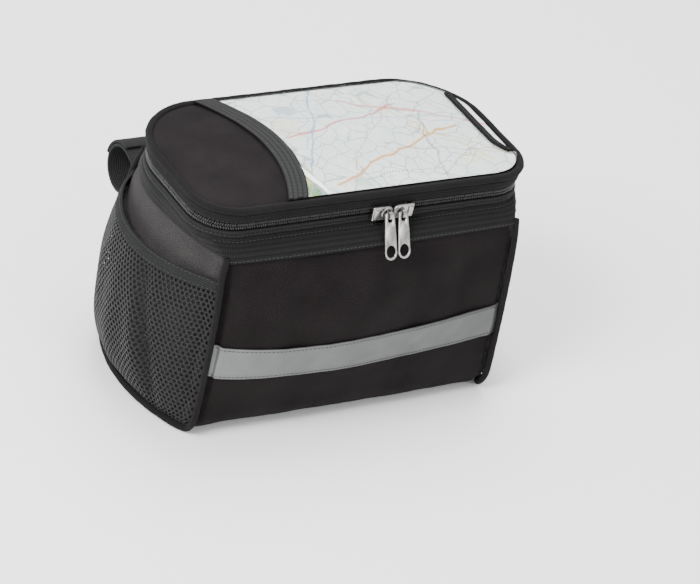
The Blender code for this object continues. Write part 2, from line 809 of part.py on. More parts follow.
# Sliders and pulls
def slider_face_y():
    """The plane on which the sliders lie, just in front of the coil."""
    return -HALF_DEPTH + ZIP_RECESS - COIL_THICKNESS / 2 - GAP


def hinge_place(side):
    """The middle of a pull's pin."""
    x = SLIDER_MEETING_X + side * PULL_SPACING / 2
    return Vector((x, slider_face_y() - SLIDER_THICKNESS - EAR_REACH + EAR_HEIGHT / 4, COIL_CENTRE))


def make_slider(side, word):
    face = slider_face_y()
    centre_x = SLIDER_MEETING_X + side * SLIDER_SPACING / 2
    plate_size = (SLIDER_LENGTH, SLIDER_THICKNESS, SLIDER_HEIGHT)
    plate = box("slider_" + word, plate_size, (centre_x, face - SLIDER_THICKNESS / 2, COIL_CENTRE))
    slider = add_object("slider_" + word, plate, "metal", 0.3, 1.0)
    bevel(slider, SLIDER_THICKNESS / 3, 2)
    pin = hinge_place(side)
    for ear in (-1, 1):
        depth = EAR_REACH + SLIDER_THICKNESS / 2
        place = (pin.x + ear * (EAR_SPACING + EAR_THICKNESS) / 2, face - SLIDER_THICKNESS / 2 - depth / 2, pin.z)
        name = "slider_ear_" + word + ("_near" if ear < 0 else "_far")
        boolean(slider, add_cutter(name, box(name, (EAR_THICKNESS, depth, EAR_HEIGHT), place)), "UNION")
    name = "slider_pin_" + word
    rod = cylinder_x(name, HINGE_PIN_RADIUS, EAR_SPACING + EAR_THICKNESS, pin, 12)
    boolean(slider, add_cutter(name, rod), "UNION")


def pull_outline():
    """The tab's face: a narrow neck at the pin that widens to a tab with a round end."""
    half = PULL_WIDTH / 2
    neck = PULL_NECK_WIDTH / 2
    points = [(neck, 0.0), (neck, -0.16 * PULL_LENGTH), (half * 0.92, -0.27 * PULL_LENGTH)]
    points.append((half, -0.6 * PULL_LENGTH))
    for angle in np.linspace(0.0, -90.0, 6):
        turn = math.radians(angle)
        points.append((half * math.cos(turn), half - PULL_LENGTH + half * math.sin(turn)))
    return points + [(-x, y) for x, y in reversed(points[:-1])]


def make_pull(side, word):
    """One tab, modelled hanging straight down and then leant against the front."""
    pin = hinge_place(side)
    axis = bpy.data.objects.new("pull_axis_" + word, None)
    PARTS.objects.link(axis)
    axis.location = pin
    axis.rotation_euler = (-PULL_LEAN, 0.0, 0.0)
    bm = bmesh.new()
    face = bm.faces.new([bm.verts.new((x, -PULL_THICKNESS / 2, z)) for x, z in pull_outline()])
    grown = bmesh.ops.extrude_face_region(bm, geom=[face])["geom"]
    back = [v for v in grown if isinstance(v, bmesh.types.BMVert)]
    bmesh.ops.translate(bm, verts=back, vec=(0.0, PULL_THICKNESS, 0.0))
    bmesh.ops.recalc_face_normals(bm, faces=bm.faces)
    pull = add_object("pull_" + word, finish_mesh(bm, "pull_" + word), "metal", 0.3, 1.0)
    pull.parent = axis
    origin = Vector((0.0, 0.0, 0.0))
    barrel_name = "pull_barrel_" + word
    barrel = add_cutter(barrel_name, cylinder_x(barrel_name, PULL_EYE_RADIUS, PULL_NECK_WIDTH, origin, 16))
    boolean(pull, barrel, "UNION")
    bore_name = "pull_bore_" + word
    bore = cylinder_x(bore_name, HINGE_PIN_RADIUS + PIN_GAP, 2 * PULL_NECK_WIDTH, origin, 12)
    boolean(pull, add_cutter(bore_name, bore), "DIFFERENCE")
    hole_name = "pull_hole_" + word
    bm = bmesh.new()
    bmesh.ops.create_cone(bm, cap_ends=True, segments=20, radius1=0.5, radius2=0.5, depth=4 * PULL_THICKNESS)
    bmesh.ops.scale(bm, vec=(PULL_HOLE_WIDTH, PULL_HOLE_HEIGHT, 1.0), verts=bm.verts)
    turn = Vector((0, 0, 1)).rotation_difference(Vector((0, 1, 0))).to_matrix()
    bmesh.ops.rotate(bm, verts=bm.verts, cent=(0, 0, 0), matrix=turn)
    bmesh.ops.translate(bm, vec=(0.0, 0.0, PULL_HOLE_EDGE - PULL_LENGTH), verts=bm.verts)
    hole = add_cutter(hole_name, finish_mesh(bm, hole_name))
    boolean(pull, hole, "DIFFERENCE")
    for cutter in (barrel, hole, bpy.data.objects[bore_name]):
        cutter.parent = axis


# Straps
def back_plane_y():
    """How far back the panel reaches behind the straps' seats."""
    reach = STRAP_SEAT_HEIGHT / 2
    return max(body_outline(height)[0].back_y for height in (BAR_HEIGHT - reach, BAR_HEIGHT, BAR_HEIGHT + reach))


def loop_path(layer, sweep_from, sweep_to, steps):
    """Side view of a strap round the bar, as (y, z) points, a number of layers out from the bar."""
    radius = BAR_DIAMETER / 2 + GAP + layer * (STRAP_THICKNESS + GAP)
    centre_y = back_plane_y() + GAP + STRAP_THICKNESS + GAP + BAR_DIAMETER / 2
    points = []
    for angle in np.linspace(sweep_from, sweep_to, steps):
        points.append((centre_y + radius * math.cos(angle), BAR_HEIGHT + radius * math.sin(angle)))
    return points


def strap_mesh(name, points, side, closed):
    """An open strip of strap width along a side-view path."""
    bm = bmesh.new()
    left = side * STRAP_X - STRAP_WIDTH / 2
    near = [bm.verts.new((left, y, z)) for y, z in points]
    pairs = list(zip(near, near[1:] + near[:1])) if closed else list(zip(near, near[1:]))
    edges = [bm.edges.new(pair) for pair in pairs]
    grown = bmesh.ops.extrude_edge_only(bm, edges=edges)["geom"]
    far = [v for v in grown if isinstance(v, bmesh.types.BMVert)]
    bmesh.ops.translate(bm, verts=far, vec=(STRAP_WIDTH, 0.0, 0.0))
    bmesh.ops.recalc_face_normals(bm, faces=bm.faces)
    middle = sum((v.co for v in bm.verts), Vector()) / len(bm.verts)
    centre = Vector((middle.x, loop_path(0, 0.0, math.pi, 2)[0][0] - BAR_DIAMETER / 2 - GAP, BAR_HEIGHT))
    facing = sum((face.calc_center_median() - centre).dot(face.normal) for face in bm.faces)
    if facing < 0:
        bmesh.ops.reverse_faces(bm, faces=bm.faces)
    return finish_mesh(bm, name)


def make_straps():
    seat_y = back_plane_y() + GAP + STRAP_THICKNESS
    half_seat = STRAP_SEAT_HEIGHT / 2
    wrap = loop_path(0, -math.radians(105), math.radians(105), 15)
    loop = [(seat_y, -half_seat + BAR_HEIGHT)] + wrap + [(seat_y, half_seat + BAR_HEIGHT), (seat_y, BAR_HEIGHT)]
    end = loop_path(1, math.radians(100) - STRAP_OVERLAP, math.radians(100), 8)
    for side, word in SIDES:
        for name, points, closed in (("strap_" + word, loop, True), ("strap_end_" + word, end, False)):
            strap = add_object(name, strap_mesh(name, points, side, closed), "webbing")
            solidify(strap, STRAP_THICKNESS, outward=True)


clear_scene()
PARTS = new_collection("bicycle_cooler_bag")
CUTTERS = new_collection("cutters")
SIDES = ((-1, "left"), (1, "right"))

make_body()
make_piping()
make_front_webbing()
make_pockets()
make_zip()
make_lid()
make_window()
for slider_side, slider_word in SIDES:
    make_slider(slider_side, slider_word)
    make_pull(slider_side, slider_word)
make_straps()
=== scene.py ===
# %% [markdown]
# # A bicycle cooler bag
# The bag is a padded box of black woven polyester. Its lid has a clear map window, a zip runs
# round three sides, net pockets hang on both ends, and a reflective strip crosses the front.
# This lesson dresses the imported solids: each cloth piece is made again as a fine sheet, with
# its seams, stitches and weave, and it stands where its solid stands.

import math

import bmesh
import bpy
import numpy as np
from mathutils import Matrix, Vector, noise


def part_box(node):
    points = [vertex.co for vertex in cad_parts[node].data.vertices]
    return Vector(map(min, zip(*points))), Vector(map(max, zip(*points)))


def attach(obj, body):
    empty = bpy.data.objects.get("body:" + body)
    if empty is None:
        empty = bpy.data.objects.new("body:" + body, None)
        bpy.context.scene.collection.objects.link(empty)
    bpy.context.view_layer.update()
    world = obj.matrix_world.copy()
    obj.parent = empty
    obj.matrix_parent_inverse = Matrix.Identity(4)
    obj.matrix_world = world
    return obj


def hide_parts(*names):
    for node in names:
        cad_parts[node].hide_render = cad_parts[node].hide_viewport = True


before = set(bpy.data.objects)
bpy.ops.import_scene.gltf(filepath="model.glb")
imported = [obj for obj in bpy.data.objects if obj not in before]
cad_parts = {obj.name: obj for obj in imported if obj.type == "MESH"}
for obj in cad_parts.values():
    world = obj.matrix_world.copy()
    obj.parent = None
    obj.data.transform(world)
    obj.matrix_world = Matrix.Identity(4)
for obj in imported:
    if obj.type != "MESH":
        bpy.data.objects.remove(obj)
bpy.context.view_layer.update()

# %% [markdown]
# ## Camera
# The photograph looks down on the bag from its front left corner through a long lens, and the
# camera is rolled. Setting the camera first lets every later piece be compared with the picture.

# %% Camera
SENSOR_WIDTH, LENS = 36.0, 212.38
CAMERA_PLACE = (-1.19242, -1.63366, 1.32409)
CAMERA_TURN = (56.995, -11.512, -29.618)

camera_data = bpy.data.cameras.new("photo_camera")
camera_data.sensor_width = SENSOR_WIDTH
camera_data.lens = LENS
camera_data.clip_end = 50.0
camera = bpy.data.objects.new("photo_camera", camera_data)
camera.location = CAMERA_PLACE
camera.rotation_euler = [math.radians(angle) for angle in CAMERA_TURN]
bpy.context.scene.collection.objects.link(camera)
bpy.context.scene.camera = camera

# %% [markdown]
# ## Floor and light
# A pale floor and large soft lamps give the even light of a catalogue photograph. The main lamp
# stands high at the left, because the bag's left end is lighter than its front.

# %% Floor and light
def plain_finish(name, colour, roughness):
    material = bpy.data.materials.new(name)
    material.use_nodes = True
    skin = material.node_tree.nodes["Principled BSDF"]
    skin.inputs["Base Color"].default_value = (*colour, 1.0)
    skin.inputs["Roughness"].default_value = roughness
    return material


def soft_lamp(name, place, aim, size, power):
    data = bpy.data.lights.new(name, "AREA")
    data.shape = "DISK"
    data.size = size
    data.energy = power
    lamp = bpy.data.objects.new(name, data)
    lamp.location = place
    lamp.rotation_euler = (Vector(aim) - Vector(place)).to_track_quat("-Z", "Y").to_euler()
    bpy.context.scene.collection.objects.link(lamp)


FLOOR_REACH, FLOOR_GAP = 12.0, 0.0004
FLOOR_COLOUR, SKY_COLOUR, SKY_STRENGTH = (0.93, 0.93, 0.925), (0.97, 0.98, 1.0, 1.0), 1.27
BAG_MIDDLE = (0.0, 0.0, 0.07)
floor_bm = bmesh.new()
bmesh.ops.create_grid(floor_bm, x_segments=1, y_segments=1, size=FLOOR_REACH)
bmesh.ops.translate(floor_bm, verts=floor_bm.verts, vec=(0.0, 0.0, -FLOOR_GAP))
floor_mesh = bpy.data.meshes.new("floor")
floor_bm.to_mesh(floor_mesh)
floor_bm.free()
floor = bpy.data.objects.new("floor", floor_mesh)
bpy.context.scene.collection.objects.link(floor)
floor_mesh.materials.append(plain_finish("pale_floor", FLOOR_COLOUR, 0.6))

world = bpy.data.worlds.new("studio")
bpy.context.scene.world = world
world.use_nodes = True
sky = world.node_tree.nodes["Background"]
sky.inputs["Color"].default_value = SKY_COLOUR
sky.inputs["Strength"].default_value = SKY_STRENGTH
soft_lamp("key_lamp", (-1.5, -0.4, 1.5), BAG_MIDDLE, 1.0, 71.0)
soft_lamp("top_lamp", (0.3, 0.7, 1.9), BAG_MIDDLE, 1.2, 43.0)
soft_lamp("front_lamp", (0.5, -2.0, 0.9), BAG_MIDDLE, 1.0, 17.0)
print("camera and lamps stand")

# %% [markdown]
# ## Finishes
# Nearly everything is black cloth, so the cloths must differ in weave, ribs and sheen. One
# function builds most of them from a piece's own UV map, which is laid out in metres, so a
# thread is the same size on every piece.

# %% Node helper
class Finish:
    """A material whose nodes are added one call at a time."""

    def __init__(self, name, colour, roughness, **sockets):
        self.material = bpy.data.materials.new(name)
        self.material.use_nodes = True
        self.tree = self.material.node_tree
        self.skin = self.tree.nodes["Principled BSDF"]
        self.skin.inputs["Base Color"].default_value = (*colour, 1.0)
        self.skin.inputs["Roughness"].default_value = roughness
        for socket, value in sockets.items():
            self.skin.inputs[socket.replace("_", " ")].default_value = value

    def add(self, kind, inputs=(), **settings):
        node = self.tree.nodes.new("ShaderNode" + kind)
        for key, value in settings.items():
            setattr(node, key, value)
        for key, value in dict(inputs).items():
            self.put(node.inputs[key], value)
        return node

    def put(self, socket, value):
        if isinstance(value, bpy.types.NodeSocket):
            self.tree.links.new(value, socket)
        else:
            socket.default_value = value

    def drive(self, socket, value):
        """Feeds one of the surface's own inputs."""
        self.put(self.skin.inputs[socket], value)

    def tint(self, colour, factor):
        """The surface's colour, lighter or darker from place to place."""
        node = self.add("VectorMath", {0: colour, "Scale": factor}, operation="SCALE")
        self.drive("Base Color", node.outputs[0])

    def coords(self, kind):
        return self.add("TexCoord").outputs[kind]

    def math(self, operation, first, second=0.0, third=0.0):
        node = self.add("Math", {0: first, 1: second, 2: third}, operation=operation)
        return node.outputs[0]

    def mix(self, share, first, second):
        node = self.add("Mix", {0: share}, data_type="RGBA")
        self.put(node.inputs[6], first)
        self.put(node.inputs[7], second)
        return node.outputs[2]

    def noise(self, vector, scale, detail=2.0, roughness=0.5):
        inputs = {"Vector": vector, "Scale": scale, "Detail": detail, "Roughness": roughness}
        return self.add("TexNoise", inputs).outputs[0]

    def range(self, value, low, high, new_low, new_high):
        inputs = {0: value, 1: low, 2: high, 3: new_low, 4: new_high}
        return self.add("MapRange", inputs).outputs[0]

    def bump(self, height, distance, strength=1.0, normal=None):
        inputs = {"Height": height, "Distance": distance, "Strength": strength}
        node = self.add("Bump", inputs)
        if normal is not None:
            self.put(node.inputs["Normal"], normal)
        return node.outputs[0]


# %% Cloth finish
def cloth_finish(
    name, colour, thread=0.00055, rib=0.0, rough=0.82, sheen=0.01, fuzz=0.42, lift=0.00007
):
    """Woven cloth; rib is the pitch of raised ribs that run along the UV map's first direction."""
    finish = Finish(
        name, colour, rough, Sheen_Weight=sheen, Sheen_Roughness=0.45, Specular_IOR_Level=0.055
    )
    finish.skin.inputs["Sheen Tint"].default_value = (0.75, 0.74, 0.76, 1.0)
    place = finish.coords("UV")
    body = finish.coords("Object")
    split = finish.add("SeparateXYZ", {0: place})
    wander = finish.math("MULTIPLY", finish.noise(place, 220.0), thread * 1.5)
    across = finish.math(
        "SINE",
        finish.math("MULTIPLY", finish.math("ADD", split.outputs[0], wander), 2 * math.pi / thread)
    )
    along = finish.math(
        "SINE",
        finish.math("MULTIPLY", finish.math("ADD", split.outputs[1], wander), 2 * math.pi / thread)
    )
    height = finish.math("MULTIPLY", across, along)
    if rib:
        ribs = finish.math("SINE", finish.math("MULTIPLY", split.outputs[1], 2 * math.pi / rib))
        height = finish.math("MULTIPLY_ADD", ribs, 1.6, finish.math("MULTIPLY", height, 0.5))
    broad = finish.range(
        finish.noise(body, 42.0, 3.0), 0.3, 0.7, 1.0 - 0.22 * fuzz, 1.0 + 0.3 * fuzz
    )
    grain = finish.range(
        finish.noise(place, 1400.0, 2.0, 0.7), 0.3, 0.72, 1.0 - 0.9 * fuzz, 1.0 + 1.1 * fuzz
    )
    # Raised threads and rib tops are painted lighter and the hollows between them darker: painted
    # light and shade that follow the bump's height.
    painted_weave_shade = finish.range(height, -1.0, 1.0, 0.72, 1.22)
    factor = finish.math("MULTIPLY", finish.math("MULTIPLY", broad, grain), painted_weave_shade)
    finish.tint(colour, factor)
    finish.drive("Roughness", finish.range(grain, 0.6, 1.4, rough - 0.08, rough + 0.08))
    finish.drive("Normal", finish.bump(height, lift))
    return finish.material


MAIN_COLOUR = (0.0088, 0.0072, 0.0074)
main_cloth = cloth_finish("main_cloth", MAIN_COLOUR, fuzz=0.85)
lid_cloth = cloth_finish("lid_cloth", (0.0118, 0.0100, 0.0104), fuzz=0.75)
# The end panels are the same black cloth as the front, painted lighter as painted light: the colour
# stands for the stronger light on the lit left end, and the right end gets it too.
painted_light_side_cloth = cloth_finish("painted_light_side_cloth", (0.0335, 0.0308, 0.0312), fuzz=0.7)
binding_cloth = cloth_finish(
    "binding_cloth", (0.0094, 0.0088, 0.0090), thread=0.0007, fuzz=0.35, sheen=0.03
)
zip_cloth = cloth_finish(
    "zip_cloth", (0.0090, 0.0090, 0.0092), thread=0.0006, rib=0.0012, fuzz=0.4, lift=0.00008
)
elastic_cloth = cloth_finish(
    "elastic_cloth", (0.0165, 0.0170, 0.0168), thread=0.0008, rib=0.0011, fuzz=0.25, lift=0.00009
)
print(
    "cloth finishes:",
    [material.name for material in bpy.data.materials if material.name.endswith("cloth")]
)

# %% [markdown]
# ## The bag's form
# The body is a stack of plan outlines. Each row of the table gives one height's corner, side and
# back as shares of the named sizes, and a smooth curve runs through the rows. The cloth pieces
# are laid on this form, so they keep its bulge, its pinched corners and its rounded lower edges.

# %% Sizes
LID_WIDTH, LID_DEPTH = 0.219, 0.112
LID_FRONT_RADIUS, LID_BACK_RADIUS = 0.026, 0.048
LID_TOP, LID_DOME = 0.1426, 0.003
BINDING_RADIUS = 0.0022
BODY_HEIGHT, FRONT_BULGE, BULGE_SKEW = 0.1225, 0.0125, 0.7
BASE_FRONT_RADIUS, BASE_BACK_RADIUS = 0.016, 0.020
BACK_SEAM_X, SEAM_TURN = 0.090, 0.72
PIPING_RADIUS, CORD_SIDES = 0.0019, 14
ZIP_RECESS = 0.0025
COIL_CENTRE = 0.1310
HALF_WIDTH, HALF_DEPTH = LID_WIDTH / 2, LID_DEPTH / 2

SECTION_SHARES = np.array((
    (0.000, 0.890, -1.223, 0.20, 0.00, 1.010, -0.21, 1.020, 0.74),
    (0.165, 0.888, -1.223, 0.20, 0.28, 1.018, -0.18, 1.045, 0.74),
    (0.345, 0.884, -1.214, 0.20, 0.74, 1.027, -0.14, 1.070, 0.72),
    (0.530, 0.881, -1.196, 0.20, 1.00, 1.032, -0.11, 1.080, 0.71),
    (0.735, 0.879, -1.160, 0.20, 0.84, 1.023, -0.07, 1.070, 0.69),
    (0.880, 0.879, -1.116, 0.20, 0.48, 1.009, 0.00, 1.035, 0.64),
    (0.963, 0.881, -1.068, 0.24, 0.12, 0.991, 0.07, 1.000, 0.58),
))
SECTION_SIZES = np.array((
    BODY_HEIGHT, HALF_WIDTH, HALF_DEPTH, LID_FRONT_RADIUS, FRONT_BULGE,
    HALF_WIDTH, HALF_DEPTH, HALF_DEPTH, HALF_WIDTH,
))


# %% Outlines
def lid_row(inset, height):
    """The lid's plan as a row of the table, drawn in from its outer edge."""
    return np.array((
        height, HALF_WIDTH - inset, inset - HALF_DEPTH, LID_FRONT_RADIUS - inset, 0.0,
        HALF_WIDTH - inset, HALF_DEPTH - LID_BACK_RADIUS, HALF_DEPTH - inset,
        HALF_WIDTH - LID_BACK_RADIUS,
    ))


SECTIONS = np.vstack((SECTION_SHARES * SECTION_SIZES, lid_row(ZIP_RECESS, BODY_HEIGHT)))
SECTION_SLOPES = np.gradient(SECTIONS, SECTIONS[:, 0], axis=0)


def edge_rounding(height, radius):
    """How far a rounded lower edge has drawn in at a height."""
    low = min(height, radius)
    return radius - math.sqrt(radius**2 - (radius - low) ** 2)


def section_at(height):
    heights = SECTIONS[:, 0]
    row = int(np.clip(np.searchsorted(heights, height) - 1, 0, len(heights) - 2))
    span = heights[row + 1] - heights[row]
    t = (height - heights[row]) / span
    ends = (2 * t**3 - 3 * t**2 + 1) * SECTIONS[row] + (3 * t**2 - 2 * t**3) * SECTIONS[row + 1]
    turns = (t**3 - 2 * t**2 + t) * SECTION_SLOPES[row] + (t**3 - t**2) * SECTION_SLOPES[row + 1]
    section = ends + span * turns
    section[2] += edge_rounding(height, BASE_FRONT_RADIUS)
    section[7] -= edge_rounding(height, BASE_BACK_RADIUS)
    return section


def half_plan(section, steps=24):
    """The right half of a plan, from front to back, and the number of its corner's middle."""
    _height, corner_x, corner_y, corner_round, bulge, side_x, side_y, back_y, back_flat = section
    turn_y = corner_y + corner_round
    reach = (side_y - turn_y) / (side_y - corner_y)
    start = np.array((corner_x - corner_round, corner_y))
    corner = np.array((corner_x, corner_y))
    end = np.array((side_x - (side_x - corner_x) * reach**2, turn_y))
    front = [(start[0] * share, corner_y) for share in np.linspace(0, 1, 2 * steps, endpoint=False)]
    fillet = []
    for t in np.linspace(0, 1, steps // 2, endpoint=False):
        parts = np.array(((1 - t) ** 2, math.sqrt(2) * t * (1 - t), t**2))
        fillet.append((start * parts[0] + corner * parts[1] + end * parts[2]) / parts.sum())
    side = []
    for y in np.linspace(turn_y, side_y, steps, endpoint=False):
        share = (side_y - y) / (side_y - corner_y)
        side.append((side_x - (side_x - corner_x) * share**2, y))
    turn = []
    for angle in np.linspace(0, math.pi / 2, 2 * steps, endpoint=False):
        turn.append(
            (
                back_flat + (side_x - back_flat) * math.cos(angle),
                side_y + (back_y - side_y) * math.sin(angle)
            )
        )
    back = [(back_flat * (1 - share), back_y) for share in np.linspace(0, 1, 6)]
    points = np.array(front + fillet + side + turn + back)
    share = np.clip((points[: len(front) + 1, 0] + corner_x) / (2 * corner_x), 0, 1)
    points[: len(front) + 1, 1] -= bulge * np.sin(math.pi * share**BULGE_SKEW)
    return points, len(front) + len(fillet) // 2


def left_bulge(points, section):
    """The bulge isn't the same on both halves, so the left half of the front has its own."""
    corner_x, corner_y, bulge = section[1], section[2], section[4]
    mirrored = points * (-1, 1)
    flat = points[:, 0] <= corner_x - section[3] + 1e-9
    front = flat & (points[:, 1] < 0)
    share = np.clip((mirrored[:, 0] + corner_x) / (2 * corner_x), 0, 1)
    mirrored[front, 1] = corner_y - bulge * np.sin(math.pi * share[front] ** BULGE_SKEW)
    return mirrored


def spread(points, columns):
    """Evenly spaced points along a path."""
    steps = np.linalg.norm(np.diff(points, axis=0), axis=1)
    lengths = np.concatenate(((0.0,), np.cumsum(steps)))
    at = (
        np.linspace(0, lengths[-1], columns) if np.isscalar(columns)
        else np.asarray(columns) * lengths[-1]
    )
    return np.stack(
        [np.interp(at, lengths, points[:, axis]) for axis in range(points.shape[1])], axis=1
    )


def plan_path(part, height, section=None):
    """The plan of one cloth piece at a height: front, side (right) or back."""
    section = section_at(height) if section is None else section
    points, middle = half_plan(section)
    if part == "front":
        left = left_bulge(points[: middle + 1], section)
        return np.vstack((left[::-1], points[1 : middle + 1]))
    cut = middle + np.argmax((points[middle:, 0] < BACK_SEAM_X) & (points[middle:, 1] > 0))
    first, second = points[cut - 1], points[cut]
    seam = first + (second - first) * (first[0] - BACK_SEAM_X) / (first[0] - second[0])
    if part == "side":
        return np.vstack((points[middle:cut], seam))
    right = np.vstack((seam, points[cut:]))
    return np.vstack((right, right[-2::-1] * (-1, 1)))


def laid_rows(part, heights, columns):
    """Rows of 3-D points on the bag's form."""
    rows = []
    for height in heights:
        plan = spread(plan_path(part, height), columns)
        rows.append(np.column_stack((plan, np.full(len(plan), height))))
    return np.array(rows)


print("front width at half height:", round(float(np.ptp(plan_path("front", 0.06)[:, 0])), 4), "m")

# %% [markdown]
# ## From rows of points to cloth
# A cloth piece starts as a flat grid from an operator, and its points are moved onto rows that
# lie on the form. Its UV map holds the distance along and across the cloth in metres. Solidify
# then gives it a thickness, inwards, so the outside stays where the rows are.

# %% Grid pieces
def row_normals(rows, closed=False):
    """Outward directions on a grid of points."""
    if closed:
        wide = np.concatenate((rows[:, -2:-1], rows, rows[:, 1:2]), axis=1)
        along = np.gradient(wide, axis=1)[:, 1:-1]
    else:
        along = np.gradient(rows, axis=1)
    up = np.gradient(rows, axis=0)
    normals = np.cross(along, up)
    normals /= np.maximum(np.linalg.norm(normals, axis=2, keepdims=True), 1e-12)
    return normals


def pushed(rows, amount, closed=False, sign=1.0):
    """Rows moved out along their own normals."""
    amount = np.asarray(amount)
    return rows + sign * row_normals(rows, closed) * (amount[..., None] if amount.ndim else amount)


def metre_map(rows):
    """Distances along and across a grid of points."""
    along = np.zeros(rows.shape[:2])
    across = np.zeros(rows.shape[:2])
    along[:, 1:] = np.cumsum(np.linalg.norm(np.diff(rows, axis=1), axis=2), axis=1)
    along -= along[:, -1:] / 2
    across[1:] = np.cumsum(np.linalg.norm(np.diff(rows, axis=0), axis=2), axis=0)
    across[:] = across.mean(axis=1, keepdims=True)
    return along, across


def smooth_faces(bm):
    for face in bm.faces:
        face.smooth = True


def grid_mesh(rows, uv=None):
    """A smooth grid laid on rows of points, with its UV map in metres."""
    count, columns = rows.shape[:2]
    bm = bmesh.new()
    bmesh.ops.create_grid(bm, x_segments=columns - 1, y_segments=count - 1, size=0.5)
    bm.verts.ensure_lookup_table()
    uv_layer = bm.loops.layers.uv.new("UVMap")
    along, across = metre_map(rows) if uv is None else uv
    flat, u, v = rows.reshape(-1, 3), np.ravel(along), np.ravel(across)
    for vert, point in zip(bm.verts, flat):
        vert.co = point
    for face in bm.faces:
        face.smooth = True
        for loop in face.loops:
            loop[uv_layer].uv = (u[loop.vert.index], v[loop.vert.index])
    return bm


def faces_out(bm, middle=BAG_MIDDLE):
    """Turns an open sheet so that it looks away from the bag's middle."""
    centre = Vector(middle)
    facing = sum((face.calc_center_median() - centre).dot(face.normal) for face in bm.faces)
    if facing < 0:
        bmesh.ops.reverse_faces(bm, faces=bm.faces)


def place_piece(name, bm, finish, body="bag", replaced=()):
    mesh = bpy.data.meshes.new(name)
    bm.to_mesh(mesh)
    bm.free()
    piece = bpy.data.objects.new(name, mesh)
    bpy.context.scene.collection.objects.link(piece)
    mesh.materials.append(finish)
    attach(piece, body)
    if replaced:
        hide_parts(*replaced)
    return piece


def cloth_piece(
    name, rows, finish, thickness=0.0012, replaced=(), closed=False, uv=None, outward=False,
    middle=BAG_MIDDLE
):
    """A sheet of cloth on rows of points, thickened inwards (or outwards)."""
    bm = grid_mesh(rows, uv)
    if closed:
        bmesh.ops.remove_doubles(bm, verts=bm.verts, dist=1e-6)
    bm.normal_update()
    faces_out(bm, middle)
    piece = place_piece(name, bm, finish, replaced=replaced)
    if thickness:
        wall = piece.modifiers.new("Wall", "SOLIDIFY")
        wall.thickness = thickness
        wall.offset = 1.0 if outward else -1.0
    return piece


def mirrored(rows, side):
    """The same rows on the bag's left end when side is -1."""
    return rows * (side, 1, 1)


def soft_noise(points, size, seed=0.0):
    """Smooth random heights from -1 to 1 over features of a size in metres."""
    flat = points.reshape(-1, 3) / size
    values = [noise.noise(Vector((x + seed, y - seed, z + 2 * seed))) for x, y, z in flat]
    return np.array(values).reshape(points.shape[:-1])


def pinch(distance, reach):
    """1 at a seam, fading to 0 at the reach."""
    return np.clip(1 - distance / reach, 0, 1) ** 2


def edge_distance(rows):
    """How far each point is from the left and right edges of a grid."""
    along, _across = metre_map(rows)
    half = along[:, -1:]
    return half - np.abs(along)


SIDES = ((-1, "left"), (1, "right"))

# %% [markdown]
# ## Front, base and back
# One length of padded cloth runs down the front, under the bag and up the back. It is drawn in
# at the corner seams, and the foam behind the front gives soft upright dents and a few folds
# that start at the seams, where the thread pulls the padding flat.

# %% Padded wrap
PAD_THICKNESS = 0.0022


def base_half_width(y):
    side = plan_path("side", 0.0)
    return float(np.interp(y, side[:, 1], side[:, 0]))


def wrap_rows(columns=181):
    """The wrap from the front's top edge, under the base, to the back's top edge."""
    low = BASE_FRONT_RADIUS * (1 - np.cos(np.linspace(0, math.pi / 2, 14)))
    front_heights = np.concatenate(
        (low[:-1], np.linspace(BASE_FRONT_RADIUS, 0.110, 62), np.linspace(0.1108, BODY_HEIGHT, 14))
    )
    low = BASE_BACK_RADIUS * (1 - np.cos(np.linspace(0, math.pi / 2, 14)))
    back_heights = np.concatenate((low[:-1], np.linspace(BASE_BACK_RADIUS, BODY_HEIGHT, 56)))
    front = laid_rows("front", front_heights, columns)
    back = laid_rows("back", back_heights, columns)[:, ::-1]
    base = []
    for y in np.linspace(front[0][columns // 2, 1], back[0][columns // 2, 1], 42)[1:-1]:
        width = base_half_width(y)
        base.append(
            np.column_stack(
                (np.linspace(-width, width, columns), np.full(columns, y), np.zeros(columns))
            )
        )
    return front[::-1], np.array(base), back


# each dent: where it lies across the front, its width, its depth and its lean
FRONT_DENTS = (
    (-0.047, 0.0075, 0.0016, 0.10),
    (-0.062, 0.006, -0.0009, 0.06),
    (0.031, 0.010, 0.0010, -0.12),
    (0.067, 0.009, 0.0009, -0.2),
)


def front_shape(rows):
    """How far the front's cloth stands off the plain form."""
    x, z = rows[..., 0], rows[..., 2]
    lift = 0.0008 * soft_noise(rows, 0.034, 3.1) + 0.0004 * soft_noise(rows, 0.013, 8.4)
    for centre, width, depth, lean in FRONT_DENTS:
        middle = centre + lean * (z - 0.075)
        lift -= (
            depth * np.exp(-(((x - middle) / width) ** 2)) * np.exp(-(((z - 0.082) / 0.026) ** 2))
        )
    near = edge_distance(rows)
    pucker = np.sin(z * 2 * math.pi / 0.0085 + 3.0 * soft_noise(rows, 0.03, 1.7))
    lift += 0.00035 * pucker * pinch(near, 0.016)
    lift -= 0.0012 * pinch(near, 0.0065)
    strip = np.clip(1 - np.abs(z - 0.0520) / 0.0125, 0, 1)
    lift -= 0.0006 * np.minimum(1, 3 * strip)
    return lift


front_part, base_part, back_part = wrap_rows()
front_part = pushed(front_part, front_shape(front_part), sign=-1.0)
back_lift = (
    0.0007 * soft_noise(back_part, 0.04, 5.0) - 0.0010 * pinch(edge_distance(back_part), 0.007)
)
back_part = pushed(back_part, back_lift, sign=-1.0)
wrap = np.concatenate((front_part, base_part, back_part))
body_wrap = cloth_piece(
    "padded_wrap", wrap, main_cloth, PAD_THICKNESS, ("body_wrap",)
)
print("wrap:", len(body_wrap.data.polygons), "faces")

# %% [markdown]
# ## End panels
# Each end is one padded panel that swells between the seams. Above the pocket its cloth is seen
# best, with a soft hollow under the zip and gentle folds, so it gets its own finer relief.

